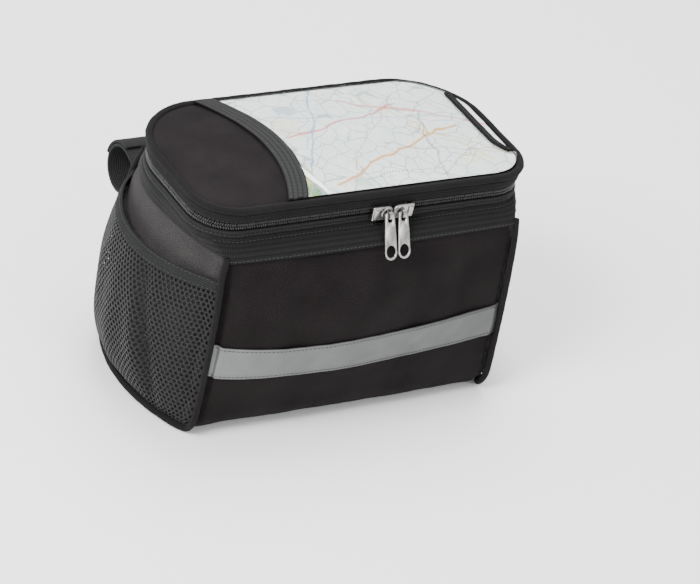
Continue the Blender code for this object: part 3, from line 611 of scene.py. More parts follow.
# %% End panels
def end_rows(columns=121):
    low = BASE_FRONT_RADIUS * (1 - np.cos(np.linspace(0, math.pi / 2, 10)))
    heights = np.concatenate(
        (low[:-1], np.linspace(BASE_FRONT_RADIUS, 0.112, 56), np.linspace(0.1126, BODY_HEIGHT, 14))
    )
    return laid_rows("side", heights, columns)


def end_shape(rows, seed):
    z = rows[..., 2]
    lift = 0.0009 * soft_noise(rows, 0.030, seed) + 0.0004 * soft_noise(rows, 0.012, seed + 4)
    near = edge_distance(rows)
    lift -= 0.0011 * pinch(near, 0.007)
    lift -= 0.0010 * np.exp(-(((z - 0.1135) / 0.004) ** 2))
    lift += 0.0003 * np.sin(z * 2 * math.pi / 0.008) * pinch(near, 0.012)
    return lift


for side, word in SIDES:
    rows = end_rows()
    rows = pushed(rows, end_shape(rows, 11.0 + side), sign=1.0)
    panel = cloth_piece(
        "end_panel_" + word, mirrored(rows, side), painted_light_side_cloth, PAD_THICKNESS,
        ("side_panel_" + word,)
    )
print("end panels stand")

# %% [markdown]
# ## Corded seams
# Where wrap and end panels meet, a cord is sewn into a folded strip. It runs down the front
# corner, along the base and up the back. A tube follows it, a little uneven, as sewn cord is.

# %% Cord tubes
def side_place(share, height):
    plan = spread(plan_path("side", height), (share,))[0]
    return np.array((plan[0], plan[1], height))


def off_side(share, height, distance):
    """A place a distance out from the right end, along the form's own normal."""
    rise, reach = BODY_HEIGHT / 120, 0.01
    along = (
        side_place(min(share + reach, 1.0), height) - side_place(max(share - reach, 0.0), height)
    )
    up = side_place(share, height + rise) - side_place(share, max(height - rise, 0.0))
    normal = np.cross(along, up)
    return side_place(share, height) + normal / np.linalg.norm(normal) * distance


def cord_place(share, level, distance):
    height = level
    for _turn in range(6):
        place = off_side(share, height, distance)
        height += level - place[2]
    return np.array((place[0], place[1], level))


def seam_rise(share):
    turn = np.clip((share - SEAM_TURN) / (1 - SEAM_TURN), 0, 1)
    return BASE_BACK_RADIUS * (1 - math.sqrt(1 - turn**2))


def seam_route(distance, top=0.955):
    """The right seam cord's middle line."""
    ground = PIPING_RADIUS + 0.0003
    rise = BASE_FRONT_RADIUS - ground
    places = [(0.0, level) for level in np.linspace(top * BODY_HEIGHT, BASE_FRONT_RADIUS, 10)]
    places += [(0.0, ground + rise * share**2) for share in (0.8, 0.55, 0.3, 0.0)]
    places += [(share, ground) for share in np.linspace(0.04, SEAM_TURN, 9)]
    for turn in np.linspace(0, math.pi / 2, 6)[1:]:
        share = SEAM_TURN + (1 - SEAM_TURN) * math.sin(turn)
        places.append((share, ground + seam_rise(share)))
    places += [
        (1.0, level) for level in np.linspace(ground + BASE_BACK_RADIUS, 0.985 * BODY_HEIGHT, 9)[1:]
    ]
    return np.array([cord_place(share, level, distance) for share, level in places])


def smooth_route(points, count, passes=3):
    """A denser, rounder route through points."""
    route = spread(points, count)
    for _turn in range(passes):
        route[1:-1] = (route[:-2] + 2 * route[1:-1] + route[2:]) / 4
    return route


def route_frames(route, closed=False):
    """Two directions square to a route, carried along it without twist."""
    if closed:
        tangents = np.roll(route, -1, axis=0) - np.roll(route, 1, axis=0)
    else:
        tangents = np.gradient(route, axis=0)
    tangents /= np.linalg.norm(tangents, axis=1, keepdims=True)
    first = np.cross(tangents[0], (0.0, 0.0, 1.0) if abs(tangents[0][2]) < 0.9 else (0.0, 1.0, 0.0))
    sides = [first / np.linalg.norm(first)]
    for tangent in tangents[1:]:
        side = sides[-1] - tangent * sides[-1].dot(tangent)
        sides.append(side / np.linalg.norm(side))
    sides = np.array(sides)
    return tangents, sides, np.cross(tangents, sides)


def tube_rows(route, radius, closed=False, uneven=0.0, seed=0.0):
    """A tube's rows: each column is one ring round the route."""
    _tangents, sides, ups = route_frames(route, closed)
    angles = np.linspace(0, 2 * math.pi, CORD_SIDES + 1)
    size = radius * (1 + uneven * soft_noise(route, 0.006, seed))
    ring = sides[None] * np.cos(angles)[:, None, None] + ups[None] * np.sin(angles)[:, None, None]
    rows = route[None] + ring * size[None, :, None]
    return np.concatenate((rows, rows[:, :1]), axis=1) if closed else rows


def cord_piece(name, route, radius, finish, replaced=(), closed=False, uneven=0.0, seed=0.0):
    """A round covered cord with closed ends."""
    rows = tube_rows(route, radius, closed, uneven, seed)
    bm = grid_mesh(rows)
    bmesh.ops.remove_doubles(bm, verts=bm.verts, dist=1e-6)
    open_edges = [edge for edge in bm.edges if edge.is_boundary]
    if open_edges:
        bmesh.ops.holes_fill(bm, edges=open_edges)
    bmesh.ops.recalc_face_normals(bm, faces=bm.faces)
    return place_piece(name, bm, finish, replaced=replaced)


seam_line = smooth_route(seam_route(PIPING_RADIUS + 0.0004), 260)
for side, word in SIDES:
    cord_piece(
        "seam_cord_" + word, seam_line * (side, 1, 1), PIPING_RADIUS, binding_cloth,
        ("piping_" + word,), uneven=0.10, seed=2.0 + side
    )
print(
    "seam cord:", round(float(np.linalg.norm(np.diff(seam_line, axis=0), axis=1).sum()), 3),
    "m each"
)

# %% [markdown]
# ## Small repeated shapes
# Stitches and zip teeth are hundreds of small rounded lumps. Each is one low sphere, stretched
# and turned to lie along its row, and a whole row is a single mesh.

# %% Stitches
STITCH_PITCH, THREAD_WIDTH = 0.0026, 0.00042


def lump(bm, place, along, out, size):
    """A stretched little sphere: size is its length along, its height out and its width across."""
    along = Vector(along).normalized()
    out = Vector(out)
    out = (out - along * out.dot(along)).normalized()
    across = out.cross(along)
    turn = Matrix((along, out, across)).transposed().to_4x4()
    scale = Matrix.Diagonal((size[0] / 2, size[1] / 2, size[2] / 2, 1.0))
    bmesh.ops.create_icosphere(
        bm, subdivisions=1, radius=1.0, matrix=Matrix.Translation(place) @ turn @ scale
    )


def stitch_row(bm, route, outs, pitch, thread, fill=0.78):
    """Stitches along a route of points, lying on cloth whose outward directions are given."""
    steps = np.linalg.norm(np.diff(route, axis=0), axis=1)
    lengths = np.concatenate(((0.0,), np.cumsum(steps)))
    count = max(1, int(lengths[-1] / pitch))
    for number in range(count):
        ends = [
            (number + 0.5 - fill / 2) * lengths[-1] / count,
            (number + 0.5 + fill / 2) * lengths[-1] / count
        ]
        first, last, out = [
            np.array([np.interp(at, lengths, table[:, axis]) for axis in range(3)])
            for at, table in ((ends[0], route), (ends[1], route), (sum(ends) / 2, outs))
        ]
        span = np.linalg.norm(last - first)
        lump(bm, Vector((first + last) / 2), last - first, out, (span, thread * 0.8, thread))
    return count


def thread_piece(name, routes, pitch=STITCH_PITCH, thread=THREAD_WIDTH):
    """One piece that holds every stitch row of a seam."""
    bm = bmesh.new()
    count = sum(stitch_row(bm, route, outs, pitch, thread) for route, outs in routes)
    smooth_faces(bm)
    print(name + ":", count, "stitches")
    return place_piece(name, bm, thread_finish)


def row_route(rows, share, lift=0.0002, flip=1.0):
    """A line across a grid of points at a share of its height, with its outward directions."""
    normals = row_normals(rows) * flip
    at = share * (len(rows) - 1)
    low = int(min(at, len(rows) - 2))
    rest = at - low
    line = rows[low] * (1 - rest) + rows[low + 1] * rest
    outs = normals[low] * (1 - rest) + normals[low + 1] * rest
    return line + outs * lift, outs


thread_finish = cloth_finish(
    "sewing_thread", (0.034, 0.034, 0.035), thread=0.0003, fuzz=0.1, sheen=0.1
)

# %% [markdown]
# ## Front webbing and reflective strip
# A ribbed webbing band closes the front under the zip. The reflective strip lies across the
# front between the seams, a silver-grey coated tape that sags a little and waves with the foam.

# %% Front bands
def ribbed_finish(name, colour, pitch, fuzz=0.5, lift=0.00026, rough=0.72):
    """Webbing whose ribs run across the band: two staggered rows of short cords."""
    finish = Finish(
        name, colour, rough, Sheen_Weight=0.02, Sheen_Roughness=0.4, Specular_IOR_Level=0.07
    )
    place = finish.coords("UV")
    split = finish.add("SeparateXYZ", {0: place})
    row = finish.math("FLOOR", finish.math("DIVIDE", split.outputs[1], pitch * 2.4))
    shift = finish.math("MULTIPLY_ADD", row, pitch / 2, split.outputs[0])
    ribs = finish.math(
        "ABSOLUTE", finish.math("SINE", finish.math("MULTIPLY", shift, math.pi / pitch))
    )
    step = finish.math(
        "ABSOLUTE",
        finish.math("SINE", finish.math("MULTIPLY", split.outputs[1], math.pi / (pitch * 2.4)))
    )
    height = finish.math(
        "MULTIPLY", finish.math("POWER", ribs, 0.7), finish.math("POWER", step, 0.35)
    )
    grain = finish.range(
        finish.noise(place, 1500.0, 2.0, 0.7), 0.3, 0.72, 1.0 - 0.8 * fuzz, 1.0 + fuzz
    )
    # The colour follows the ribs' height: rib tops are painted lighter as painted highlights and
    # the gaps between them darker as painted shade.
    factor = finish.math("MULTIPLY", grain, finish.range(height, 0.0, 1.0, 0.2, 1.75))
    finish.tint(colour, factor)
    finish.drive("Normal", finish.bump(height, lift))
    return finish.material


rim_webbing = ribbed_finish("rim_webbing", (0.0080, 0.0082, 0.0080), 0.0014)


def front_place_rows(base, height, sag, levels, columns=181, lift=0.0006):
    """Rows of points for a band across the front, off the padded form."""
    rows = []
    for level in np.linspace(base, base + height, levels):
        flat = spread(plan_path("front", level), columns)
        share = np.linspace(0, 1, columns)
        heights = level - sag * np.sin(math.pi * share)
        points = []
        for place, z, at in zip(flat, heights, share):
            plan = spread(plan_path_cached("front", round(float(z), 5)), (at,))[0]
            points.append((plan[0], plan[1], z))
        rows.append(points)
    rows = np.array(rows)
    return pushed(rows, lift, sign=1.0)


plan_store = {}


def plan_path_cached(part, height):
    key = (part, height)
    if key not in plan_store:
        plan_store[key] = plan_path(part, height)
    return plan_store[key]


def reflective_finish():
    finish = Finish(
        "reflective_tape", (0.215, 0.222, 0.222), 0.42, Metallic=0.25, Specular_IOR_Level=0.5
    )
    place = finish.coords("UV")
    body = finish.coords("Object")
    beads = finish.add("TexVoronoi", {"Vector": place, "Scale": 2600.0}).outputs["Distance"]
    clouds = finish.range(finish.noise(body, 60.0, 4.0), 0.3, 0.7, 0.88, 1.10)
    # Painted light: the strip is painted lighter at its left end and darker towards the right, as
    # the lamp at the left lights it, and each bead's centre is painted lighter as a small glint.
    sparkle = finish.range(beads, 0.0, 0.7, 1.10, 0.88)
    across = finish.range(finish.add("SeparateXYZ", {0: body}).outputs[0], -0.1, 0.1, 0.55, 0.22)
    level = finish.math("MULTIPLY", finish.math("MULTIPLY", clouds, sparkle), across)
    finish.tint((0.215, 0.219, 0.219), level)
    finish.drive("Roughness", finish.range(finish.noise(body, 150.0, 3.0), 0.3, 0.7, 0.30, 0.44))
    finish.drive("Normal", finish.bump(beads, 0.00003))
    return finish.material


band_rows = front_place_rows(0.1137, 0.0085, 0.0, 14, lift=0.0005)
fold = (
    0.0009 + 0.0006 * np.sin(np.linspace(0, math.pi, 14))[:, None]
    + 0.0004 * soft_noise(band_rows, 0.02, 6.0)
)
band_rows = pushed(band_rows, fold)
cloth_piece("rim_band_ribbed", band_rows, rim_webbing, 0.0011, ("rim_band",))

strip_rows = front_place_rows(0.0420, 0.0205, 0.0015, 22, lift=0.0004)
ripple = 0.0005 * soft_noise(strip_rows, 0.022, 9.0) + 0.0003 * soft_noise(strip_rows, 0.009, 2.0)
ripple -= 0.0005 * pinch(edge_distance(strip_rows), 0.006)
strip_rows = pushed(strip_rows, 0.0006 + ripple)
cloth_piece(
    "reflective_strip_cloth", strip_rows, reflective_finish(), 0.0008,
    ("reflective_strip",)
)
strip_threads = [row_route(strip_rows, share) for share in (0.07, 0.93)]
thread_piece("strip_stitches", strip_threads, thread=0.00045)
thread_piece("rim_band_stitches", [row_route(band_rows, share) for share in (0.12, 0.9)])

# %% [markdown]
# ## Zip
# The zip runs round the front and both ends. Its two tapes are folded strips, and between them
# lies the shut coil: two rows of small nylon loops that lock together. The lower tape is wide on
# the ends of the bag and tucks under the webbing at the front.

# %% Rings round the bag
def ring_path(section):
    """The whole plan as a closed path that starts at the middle of the back."""
    points, _middle = half_plan(section)
    left = left_bulge(points, section)
    return np.vstack((left[::-1], points[1:]))


def ring_rows(levels, columns=520):
    """Rings at heights and insets: each level is (height, how far it stands off the outline)."""
    rows = []
    for height, off in levels:
        section = section_at(height) if height < BODY_HEIGHT else lid_row(ZIP_RECESS, height)
        plan = spread(ring_path(section), columns)
        rows.append(np.column_stack((plan, np.full(columns, height))))
    rows = np.array(rows)
    return pushed(
        rows, np.repeat(np.array([off for _height, off in levels])[:, None], columns, axis=1),
        closed=True
    )


TAPE_THICKNESS = 0.0008
# each level: its height and how far it stands off the bag's outline
LOWER_TAPE_LEVELS = [
    (0.1160, 0.0002), (0.1163, 0.0009), (0.1180, 0.0012), (0.1200, 0.0011), (0.1215, 0.0012),
    (0.1224, 0.0011), (0.1232, 0.0006), (0.1236, 0.0001), (0.1240, 0.0005), (0.1252, 0.0008),
    (0.1268, 0.0007), (0.1278, 0.0003), (0.1283, -0.0006)
]
lower_tape = ring_rows(LOWER_TAPE_LEVELS)
lower_tape += (
    row_normals(lower_tape, True) * (0.0003 * soft_noise(lower_tape, 0.016, 12.0))[..., None]
)
cloth_piece(
    "lower_zip_tape", lower_tape,
    ribbed_finish("lower_tape_cloth", (0.0110, 0.0110, 0.0112), 0.0011, 0.5),
    TAPE_THICKNESS, ("zip_tape_lower",), closed=True
)
UPPER_TAPE_LEVELS = [
    (0.1336, -0.0006), (0.1339, 0.0003), (0.1350, 0.0008), (0.1365, 0.0011), (0.1380, 0.0009),
    (0.1392, 0.0002), (0.1398, -0.0006)
]
upper_tape = ring_rows(UPPER_TAPE_LEVELS)
upper_tape += (
    row_normals(upper_tape, True) * (0.00025 * soft_noise(upper_tape, 0.016, 15.0))[..., None]
)
cloth_piece(
    "upper_zip_tape", upper_tape,
    cloth_finish("upper_tape_cloth", (0.0105, 0.0103, 0.0103), thread=0.0006, fuzz=0.4),
    TAPE_THICKNESS, ("zip_tape_upper",), closed=True
)

# %% Coil and teeth
COIL_END_X = 0.055
ring_back = ring_rows(
    [(COIL_CENTRE - 0.0030, -0.0011), (COIL_CENTRE, -0.0009), (COIL_CENTRE + 0.0030, -0.0011)]
)
cloth_piece(
    "coil_backing", ring_back, zip_cloth, TAPE_THICKNESS, ("lid_hinge",), closed=True
)
coil_finish = Finish("nylon_coil", (0.020, 0.020, 0.021), 0.30, Specular_IOR_Level=0.5)
coil_grain = coil_finish.noise(coil_finish.coords("Object"), 900.0)
coil_finish.drive("Roughness", coil_finish.range(coil_grain, 0.3, 0.7, 0.26, 0.42))
TOOTH_PITCH, TOOTH_RISE, TOOTH_SIZE = 0.00145, 0.00105, (0.0026, 0.0013, 0.00092)
coil_ring = ring_rows(
    [(COIL_CENTRE - 0.001, -0.0004), (COIL_CENTRE, -0.0004), (COIL_CENTRE + 0.001, -0.0004)], 2080
)
coil_outs = row_normals(coil_ring, True)[1]
coil_line = coil_ring[1]
on_zip = (coil_line[:, 1] < 0.0) | (np.abs(coil_line[:, 0]) > COIL_END_X)
first, last = np.flatnonzero(on_zip)[[0, -1]]
coil_line, coil_outs = coil_line[first : last + 1], coil_outs[first : last + 1]
zip_length = float(np.linalg.norm(np.diff(coil_line, axis=0), axis=1).sum())
teeth_bm = bmesh.new()
tooth_count = int(zip_length / TOOTH_PITCH)
for number in range(tooth_count):
    at = int(number / tooth_count * (len(coil_line) - 1))
    out = coil_outs[at]
    along = np.cross((0, 0, 1.0), out)
    for level in (-1, 1):
        shift = 0.25 * level * TOOTH_PITCH
        place = coil_line[at] + along * shift + np.array((0, 0, level * TOOTH_RISE))
        lump(teeth_bm, Vector(place), np.array((0, 0, 1.0)) + along * 0.35 * level, out, TOOTH_SIZE)
smooth_faces(teeth_bm)
place_piece("zip_teeth", teeth_bm, coil_finish.material, replaced=("zip_coil",))
print("zip:", round(zip_length, 3), "m,", 2 * tooth_count, "loops")


RING_THREAD_END_Y = 0.045


def ring_threads(ring, share):
    """A stitch row on a ring, left out at the back."""
    line, outs = row_route(ring, share)
    first, last = np.flatnonzero(line[:, 1] < RING_THREAD_END_Y)[[0, -1]]
    return line[first : last + 1], outs[first : last + 1]


thread_piece(
    "zip_tape_stitches", [ring_threads(lower_tape, 0.78), ring_threads(upper_tape, 0.24)],
    thread=0.00038
)

# %% [markdown]
# ## Lid
# The lid is a padded panel with a low dome. Round its edge a rolled binding stands up beyond a
# narrow groove, and a second, thinner roll lies under it where the zip tape is sewn on.

# %% Lid panel
UNDER_LID = (0.0, 0.0, -1.0)


def lid_height(x, y):
    return LID_TOP + LID_DOME * (1 - (x / HALF_WIDTH) ** 2) * (1 - (y / HALF_DEPTH) ** 2)


def lid_ring(inset, columns):
    points, _middle = half_plan(lid_row(inset, 0.0))
    return spread(np.vstack(((points * (-1, 1))[::-1], points[1:])), columns)


# each step in from the lid's edge: its inset and how far it lies below the dome
LID_EDGE_STEPS = (
    (0.0030, 0.0026), (0.0034, 0.0016), (0.0042, 0.0008), (0.0054, 0.0003), (0.0072, 0.0),
    (0.010, 0.0), (0.013, 0.0), (0.017, 0.0), (0.021, 0.0),
)


def lid_panel_rows(columns=240):
    rows = []
    for inset, drop in LID_EDGE_STEPS:
        ring = lid_ring(inset, columns)
        rows.append(np.column_stack((ring, lid_height(ring[:, 0], ring[:, 1]) - drop)))
    edge = lid_ring(0.0215, columns)
    for scale in np.linspace(0.97, 0.0, 26):
        ring = edge * scale
        rows.append(np.column_stack((ring, lid_height(ring[:, 0], ring[:, 1]))))
    return np.array(rows)


lid_rows_top = lid_panel_rows()
lid_lift = (
    0.0005 * soft_noise(lid_rows_top, 0.035, 20.0) + 0.0002 * soft_noise(lid_rows_top, 0.012, 22.0)
)
lid_rows_top[..., 2] += lid_lift
lid_piece = cloth_piece(
    "lid_cloth_panel", lid_rows_top, lid_cloth, 0.0035, ("lid_panel",), closed=True,
    uv=(lid_rows_top[..., 0], lid_rows_top[..., 1]), middle=UNDER_LID
)


def roll_route(inset, height, columns=420):
    ring = lid_ring(inset, columns)[:-1]
    return np.column_stack((ring, np.full(len(ring), height)))


roll = roll_route(0.0022, 0.1415)
cord_piece(
    "lid_roll", roll, BINDING_RADIUS, binding_cloth, ("lid_binding",), closed=True,
    uneven=0.10, seed=31.0
)
cord_piece(
    "lid_under_roll", roll_route(0.0021, 0.1386), 0.0011, binding_cloth, closed=True,
    uneven=0.10, seed=33.0
)
print("lid stands")

# %% [markdown]
# ## Map window
# A curved webbing band closes the window's left end. To its right a folded road map lies under
# clear film, and the film's free end is bound with tape, so that the map can be slid in.

# %% Lid layers
BAND_WIDTH, BAND_APEX_X, BAND_APEX_Y = 0.0130, -0.0383, -0.0050
BAND_BOW, BAND_BOW_REACH = 0.0146, 0.0520
MOUTH_X, MOUTH_TAPE_WIDTH = 0.0957, 0.0045
MOUTH_FRONT_Y, MOUTH_BEND_Y, MOUTH_FLARE = -0.0360, -0.0180, 0.0075
MAP_EDGE_X = 0.1030
LAYER_INSET, BACK_EDGE = 0.0050, 0.0018


def band_middle(y):
    return BAND_APEX_X - BAND_BOW * ((y - BAND_APEX_Y) / BAND_BOW_REACH) ** 2


def mouth_middle(y):
    bend = np.clip((MOUTH_BEND_Y - y) / (MOUTH_BEND_Y - MOUTH_FRONT_Y), 0, 1)
    return MOUTH_X + MOUTH_FLARE * bend**2


def lid_half_width(y, inset):
    width, front, back = HALF_WIDTH - inset, LID_FRONT_RADIUS - inset, LID_BACK_RADIUS - inset
    front_y = y - (LID_FRONT_RADIUS - HALF_DEPTH)
    back_y = y - (HALF_DEPTH - LID_BACK_RADIUS)
    if front_y < 0:
        return width - front + math.sqrt(max(front**2 - front_y**2, 0.0))
    if back_y > 0:
        return width - back + math.sqrt(max(back**2 - back_y**2, 0.0))
    return width


def lid_layer_rows(left, right, lift, inset, columns, count, back=0.0):
    """Rows on the lid between a left and a right edge, from the front to the back."""
    reach = HALF_DEPTH - inset
    ys = -reach * np.cos(np.linspace(0, math.pi, count))
    ys = np.minimum(ys, reach - back * np.linspace(0, 1, count))
    rows = []
    for y in ys:
        x = np.linspace(left(y), right(y), columns)
        rows.append(np.column_stack((x, np.full(columns, y), lid_height(x, y) + lift)))
    return np.array(rows)


def flat_map(rows):
    """A UV map that is the lid's own plan in metres."""
    return rows[..., 0], rows[..., 1]


band_top = lid_layer_rows(
    lambda y: band_middle(y) - BAND_WIDTH / 2, lambda y: band_middle(y) + BAND_WIDTH / 2, 0.0022,
    0.0042, 17, 121
)
arch = np.sin(math.pi * np.linspace(0, 1, 17))[None] ** 0.5
band_top[..., 2] += 0.0004 * arch - 0.0003 + 0.00025 * soft_noise(band_top, 0.010, 40.0)
turned = np.swapaxes(band_top, 0, 1)
cloth_piece(
    "window_band_webbing", turned,
    ribbed_finish("window_webbing", (0.0190, 0.0192, 0.0190), 0.0013, 0.35), 0.0019,
    ("window_band",), middle=UNDER_LID
)
thread_piece(
    "window_band_stitches", [row_route(turned, share, flip=-1.0) for share in (0.13, 0.87)],
    thread=0.0004
)

# %% [markdown]
# ## A road map
# The paper is printed with a made-up road net in pale inks. Each road is a line in a gently
# warped plane, so it bends as roads do, and the paper's folds cast soft light and shade. A white
# line and a grey line along the main fold are drawn the same way, as a painted highlight and a
# painted shade on the crease.

# %% Map print
def map_finish():
    finish = Finish("printed_map", (0.80, 0.83, 0.79), 0.55, Specular_IOR_Level=0.4)
    place = finish.coords("UV")
    warp = finish.add(
        "TexNoise", {"Vector": place, "Scale": 26.0, "Detail": 3.0, "Roughness": 0.55}
    ).outputs["Color"]
    warp = finish.add("VectorMath", {0: warp, 1: (0.5, 0.5, 0.5)}, operation="SUBTRACT").outputs[0]
    warp = finish.add("VectorMath", {0: warp, "Scale": 0.020}, operation="SCALE").outputs[0]
    bent = finish.add("VectorMath", {0: place, 1: warp}, operation="ADD").outputs[0]
    split = finish.add("SeparateXYZ", {0: bent})
    x, y = split.outputs[0], split.outputs[1]
    land = finish.range(finish.noise(place, 40.0, 3.0), 0.35, 0.65, 0.0, 1.0)
    ink = finish.mix(land, (0.800, 0.810, 0.752, 1.0), (0.705, 0.765, 0.722, 1.0))

    def along(angle, offset):
        """How far a place lies to the side of a line, and along it."""
        c, s = math.cos(math.radians(angle)), math.sin(math.radians(angle))
        side = finish.math(
            "ADD", finish.math("MULTIPLY", x, -s), finish.math("MULTIPLY_ADD", y, c, -offset)
        )
        run = finish.math("ADD", finish.math("MULTIPLY", x, c), finish.math("MULTIPLY", y, s))
        return side, run

    def map_line(ink, angle, offset, width, colour, strength=0.85, start=-1.0, end=1.0, dash=0.0):
        side, run = along(angle, offset)
        mask = finish.range(finish.math("ABSOLUTE", side), width * 0.5, width * 0.8, 1.0, 0.0)
        mask = finish.math("MULTIPLY", mask, finish.range(run, start, start + 0.002, 0.0, strength))
        mask = finish.math("MULTIPLY", mask, finish.range(run, end, end + 0.002, 1.0, 0.0))
        if dash:
            gaps = finish.math(
                "GREATER_THAN",
                finish.math("SINE", finish.math("MULTIPLY", run, 2 * math.pi / dash)), 0.0
            )
            mask = finish.math("MULTIPLY", mask, gaps)
        return finish.mix(mask, ink, (*colour, 1.0))

    def patch(ink, centre, reach, colour, strength):
        gap = finish.add(
            "VectorMath", {0: bent, 1: (*centre, 0.0)}, operation="SUBTRACT"
        ).outputs[0]
        gap = finish.add(
            "VectorMath", {0: gap, 1: (1 / reach[0], 1 / reach[1], 0.0)}, operation="MULTIPLY"
        ).outputs[0]
        size = finish.add("VectorMath", {0: gap}, operation="LENGTH").outputs[1]
        return finish.mix(finish.range(size, 0.8, 1.15, strength, 0.0), ink, (*colour, 1.0))

    for centre, reach, colour, strength in MAP_PATCHES:
        ink = patch(ink, centre, reach, colour, strength)
    lanes = finish.add(
        "TexVoronoi", {"Vector": bent, "Scale": 75.0}, feature="DISTANCE_TO_EDGE"
    ).outputs["Distance"]
    ink = finish.mix(finish.range(lanes, 0.010, 0.035, 0.9, 0.0), ink, (0.36, 0.39, 0.42, 1.0))
    tracks = finish.add(
        "TexVoronoi", {"Vector": bent, "Scale": 190.0}, feature="DISTANCE_TO_EDGE"
    ).outputs["Distance"]
    ink = finish.mix(finish.range(tracks, 0.012, 0.05, 0.5, 0.0), ink, (0.40, 0.50, 0.56, 1.0))
    for angle, offset, width, colour, strength, start, end, dash in MAP_ROADS_AND_CREASE_LIGHT:
        ink = map_line(ink, angle, offset, width, colour, strength, start, end, dash)
    finish.drive("Base Color", ink)
    paper = finish.noise(place, 1800.0, 3.0)
    finish.drive("Normal", finish.bump(paper, 0.00002))
    return finish.material


PINK, AMBER, BLUE = (0.56, 0.09, 0.11), (0.62, 0.26, 0.03), (0.12, 0.27, 0.42)
GREY, LEAF, LEMON = (0.07, 0.075, 0.085), (0.13, 0.24, 0.02), (0.62, 0.46, 0.07)
MAP_PATCHES = (
    ((-0.0385, -0.0435), (0.0060, 0.0085), LEAF, 0.95),
    ((-0.0345, -0.0300), (0.0050, 0.0110), LEMON, 0.75),
    ((-0.0330, -0.0480), (0.0040, 0.0040), (0.10, 0.20, 0.14), 0.7),
    ((-0.006, -0.043), (0.007, 0.006), (0.38, 0.52, 0.40), 0.55),
    ((-0.022, 0.012), (0.008, 0.011), (0.82, 0.66, 0.48), 0.45),
    ((0.030, 0.020), (0.012, 0.009), (0.70, 0.80, 0.70), 0.5),
    ((0.078, -0.036), (0.010, 0.006), (0.84, 0.76, 0.46), 0.55),
    ((-0.014, 0.030), (0.006, 0.005), BLUE, 0.5),
    ((0.056, 0.036), (0.016, 0.007), (0.72, 0.81, 0.70), 0.45),
)
MAP_ROADS_AND_CREASE_LIGHT = (
    (14.0, 0.010, 0.0011, PINK, 0.75, -0.026, 0.060, 0.0),
    (-24.0, 0.040, 0.0013, PINK, 0.65, 0.005, 0.115, 0.0),
    (21.0, -0.032, 0.0014, AMBER, 0.85, -0.035, 0.075, 0.0),
    (-38.0, 0.034, 0.0010, AMBER, 0.6, 0.040, 0.115, 0.0),
    (62.0, 0.012, 0.0010, BLUE, 0.7, -0.060, 0.060, 0.0),
    (-9.0, 0.020, 0.0008, BLUE, 0.5, -0.050, 0.080, 0.0),
    (2.0, -0.041, 0.0010, GREY, 0.7, -0.006, 0.050, 0.0021),
    (33.0, -0.066, 0.0010, GREY, 0.7, 0.020, 0.062, 0.0021),
    (-18.0, -0.004, 0.0007, GREY, 0.45, 0.030, 0.100, 0.0),
    (75.0, -0.062, 0.0008, GREY, 0.5, -0.050, 0.030, 0.0),
    (48.0, -0.020, 0.0007, PINK, 0.4, -0.040, 0.060, 0.0),
    (-58.0, 0.052, 0.0007, LEMON, 0.7, -0.020, 0.080, 0.0),
    (88.0, -0.004, 0.0012, BLUE, 0.6, -0.052, -0.030, 0.0),
    # The last two lines are not roads: a painted highlight along the map's main fold crease, and a
    # painted shade line beside it.
    (106.7, 0.0412, 0.0024, (0.95, 0.95, 0.94), 0.95, -0.080, 0.080, 0.0),
    (106.7, 0.0432, 0.0007, GREY, 0.5, -0.080, 0.080, 0.0),
)


def map_right(y):
    return min(MAP_EDGE_X, lid_half_width(y, LAYER_INSET + 0.0004))


def sheet_left(y):
    return band_middle(y) + BAND_WIDTH / 2 - 0.0012


# creases beside the roll: shift, width, height; and across the map: place, height
MAP_ROLL_CREASES = (
    (0.0, 0.0013, 0.0013), (0.0032, 0.0011, -0.0007), (0.0060, 0.0013, 0.0008),
    (-0.0036, 0.0012, -0.0005)
)
MAP_CROSS_CREASES = ((0.034, 0.00035), (0.072, -0.0003))


def fold_relief(rows):
    """The folded map's raised creases, and the thick roll at its left."""
    x, y = rows[..., 0], rows[..., 1]
    relief = 0.0004 * soft_noise(rows, 0.03, 50.0) + 0.0002 * soft_noise(rows, 0.011, 52.0)
    crease = -0.958 * x - 0.287 * y - 0.0412
    for shift, wide, tall in MAP_ROLL_CREASES:
        relief += tall * np.exp(-(((crease - shift) / wide) ** 2))
    for middle, tall in MAP_CROSS_CREASES:
        relief += tall * np.exp(-np.abs(x - middle - 0.05 * y) / 0.0022)
    relief += 0.0003 * np.exp(-np.abs(y + 0.004 - 0.03 * x) / 0.0020)
    near = np.minimum(HALF_DEPTH - 0.005 - np.abs(y), 0.012) / 0.012
    return relief * np.clip(near, 0, 1)


map_rows = lid_layer_rows(sheet_left, map_right, 0.0006, 0.0050, 171, 121, BACK_EDGE)
map_rows[..., 2] += fold_relief(map_rows) + 0.0003
cloth_piece(
    "road_map", map_rows, map_finish(), 0.0003, ("map_sheet",), uv=flat_map(map_rows),
    middle=UNDER_LID
)
print("map:", round(float(np.ptp(map_rows[..., 0])) * 1000), "mm wide")

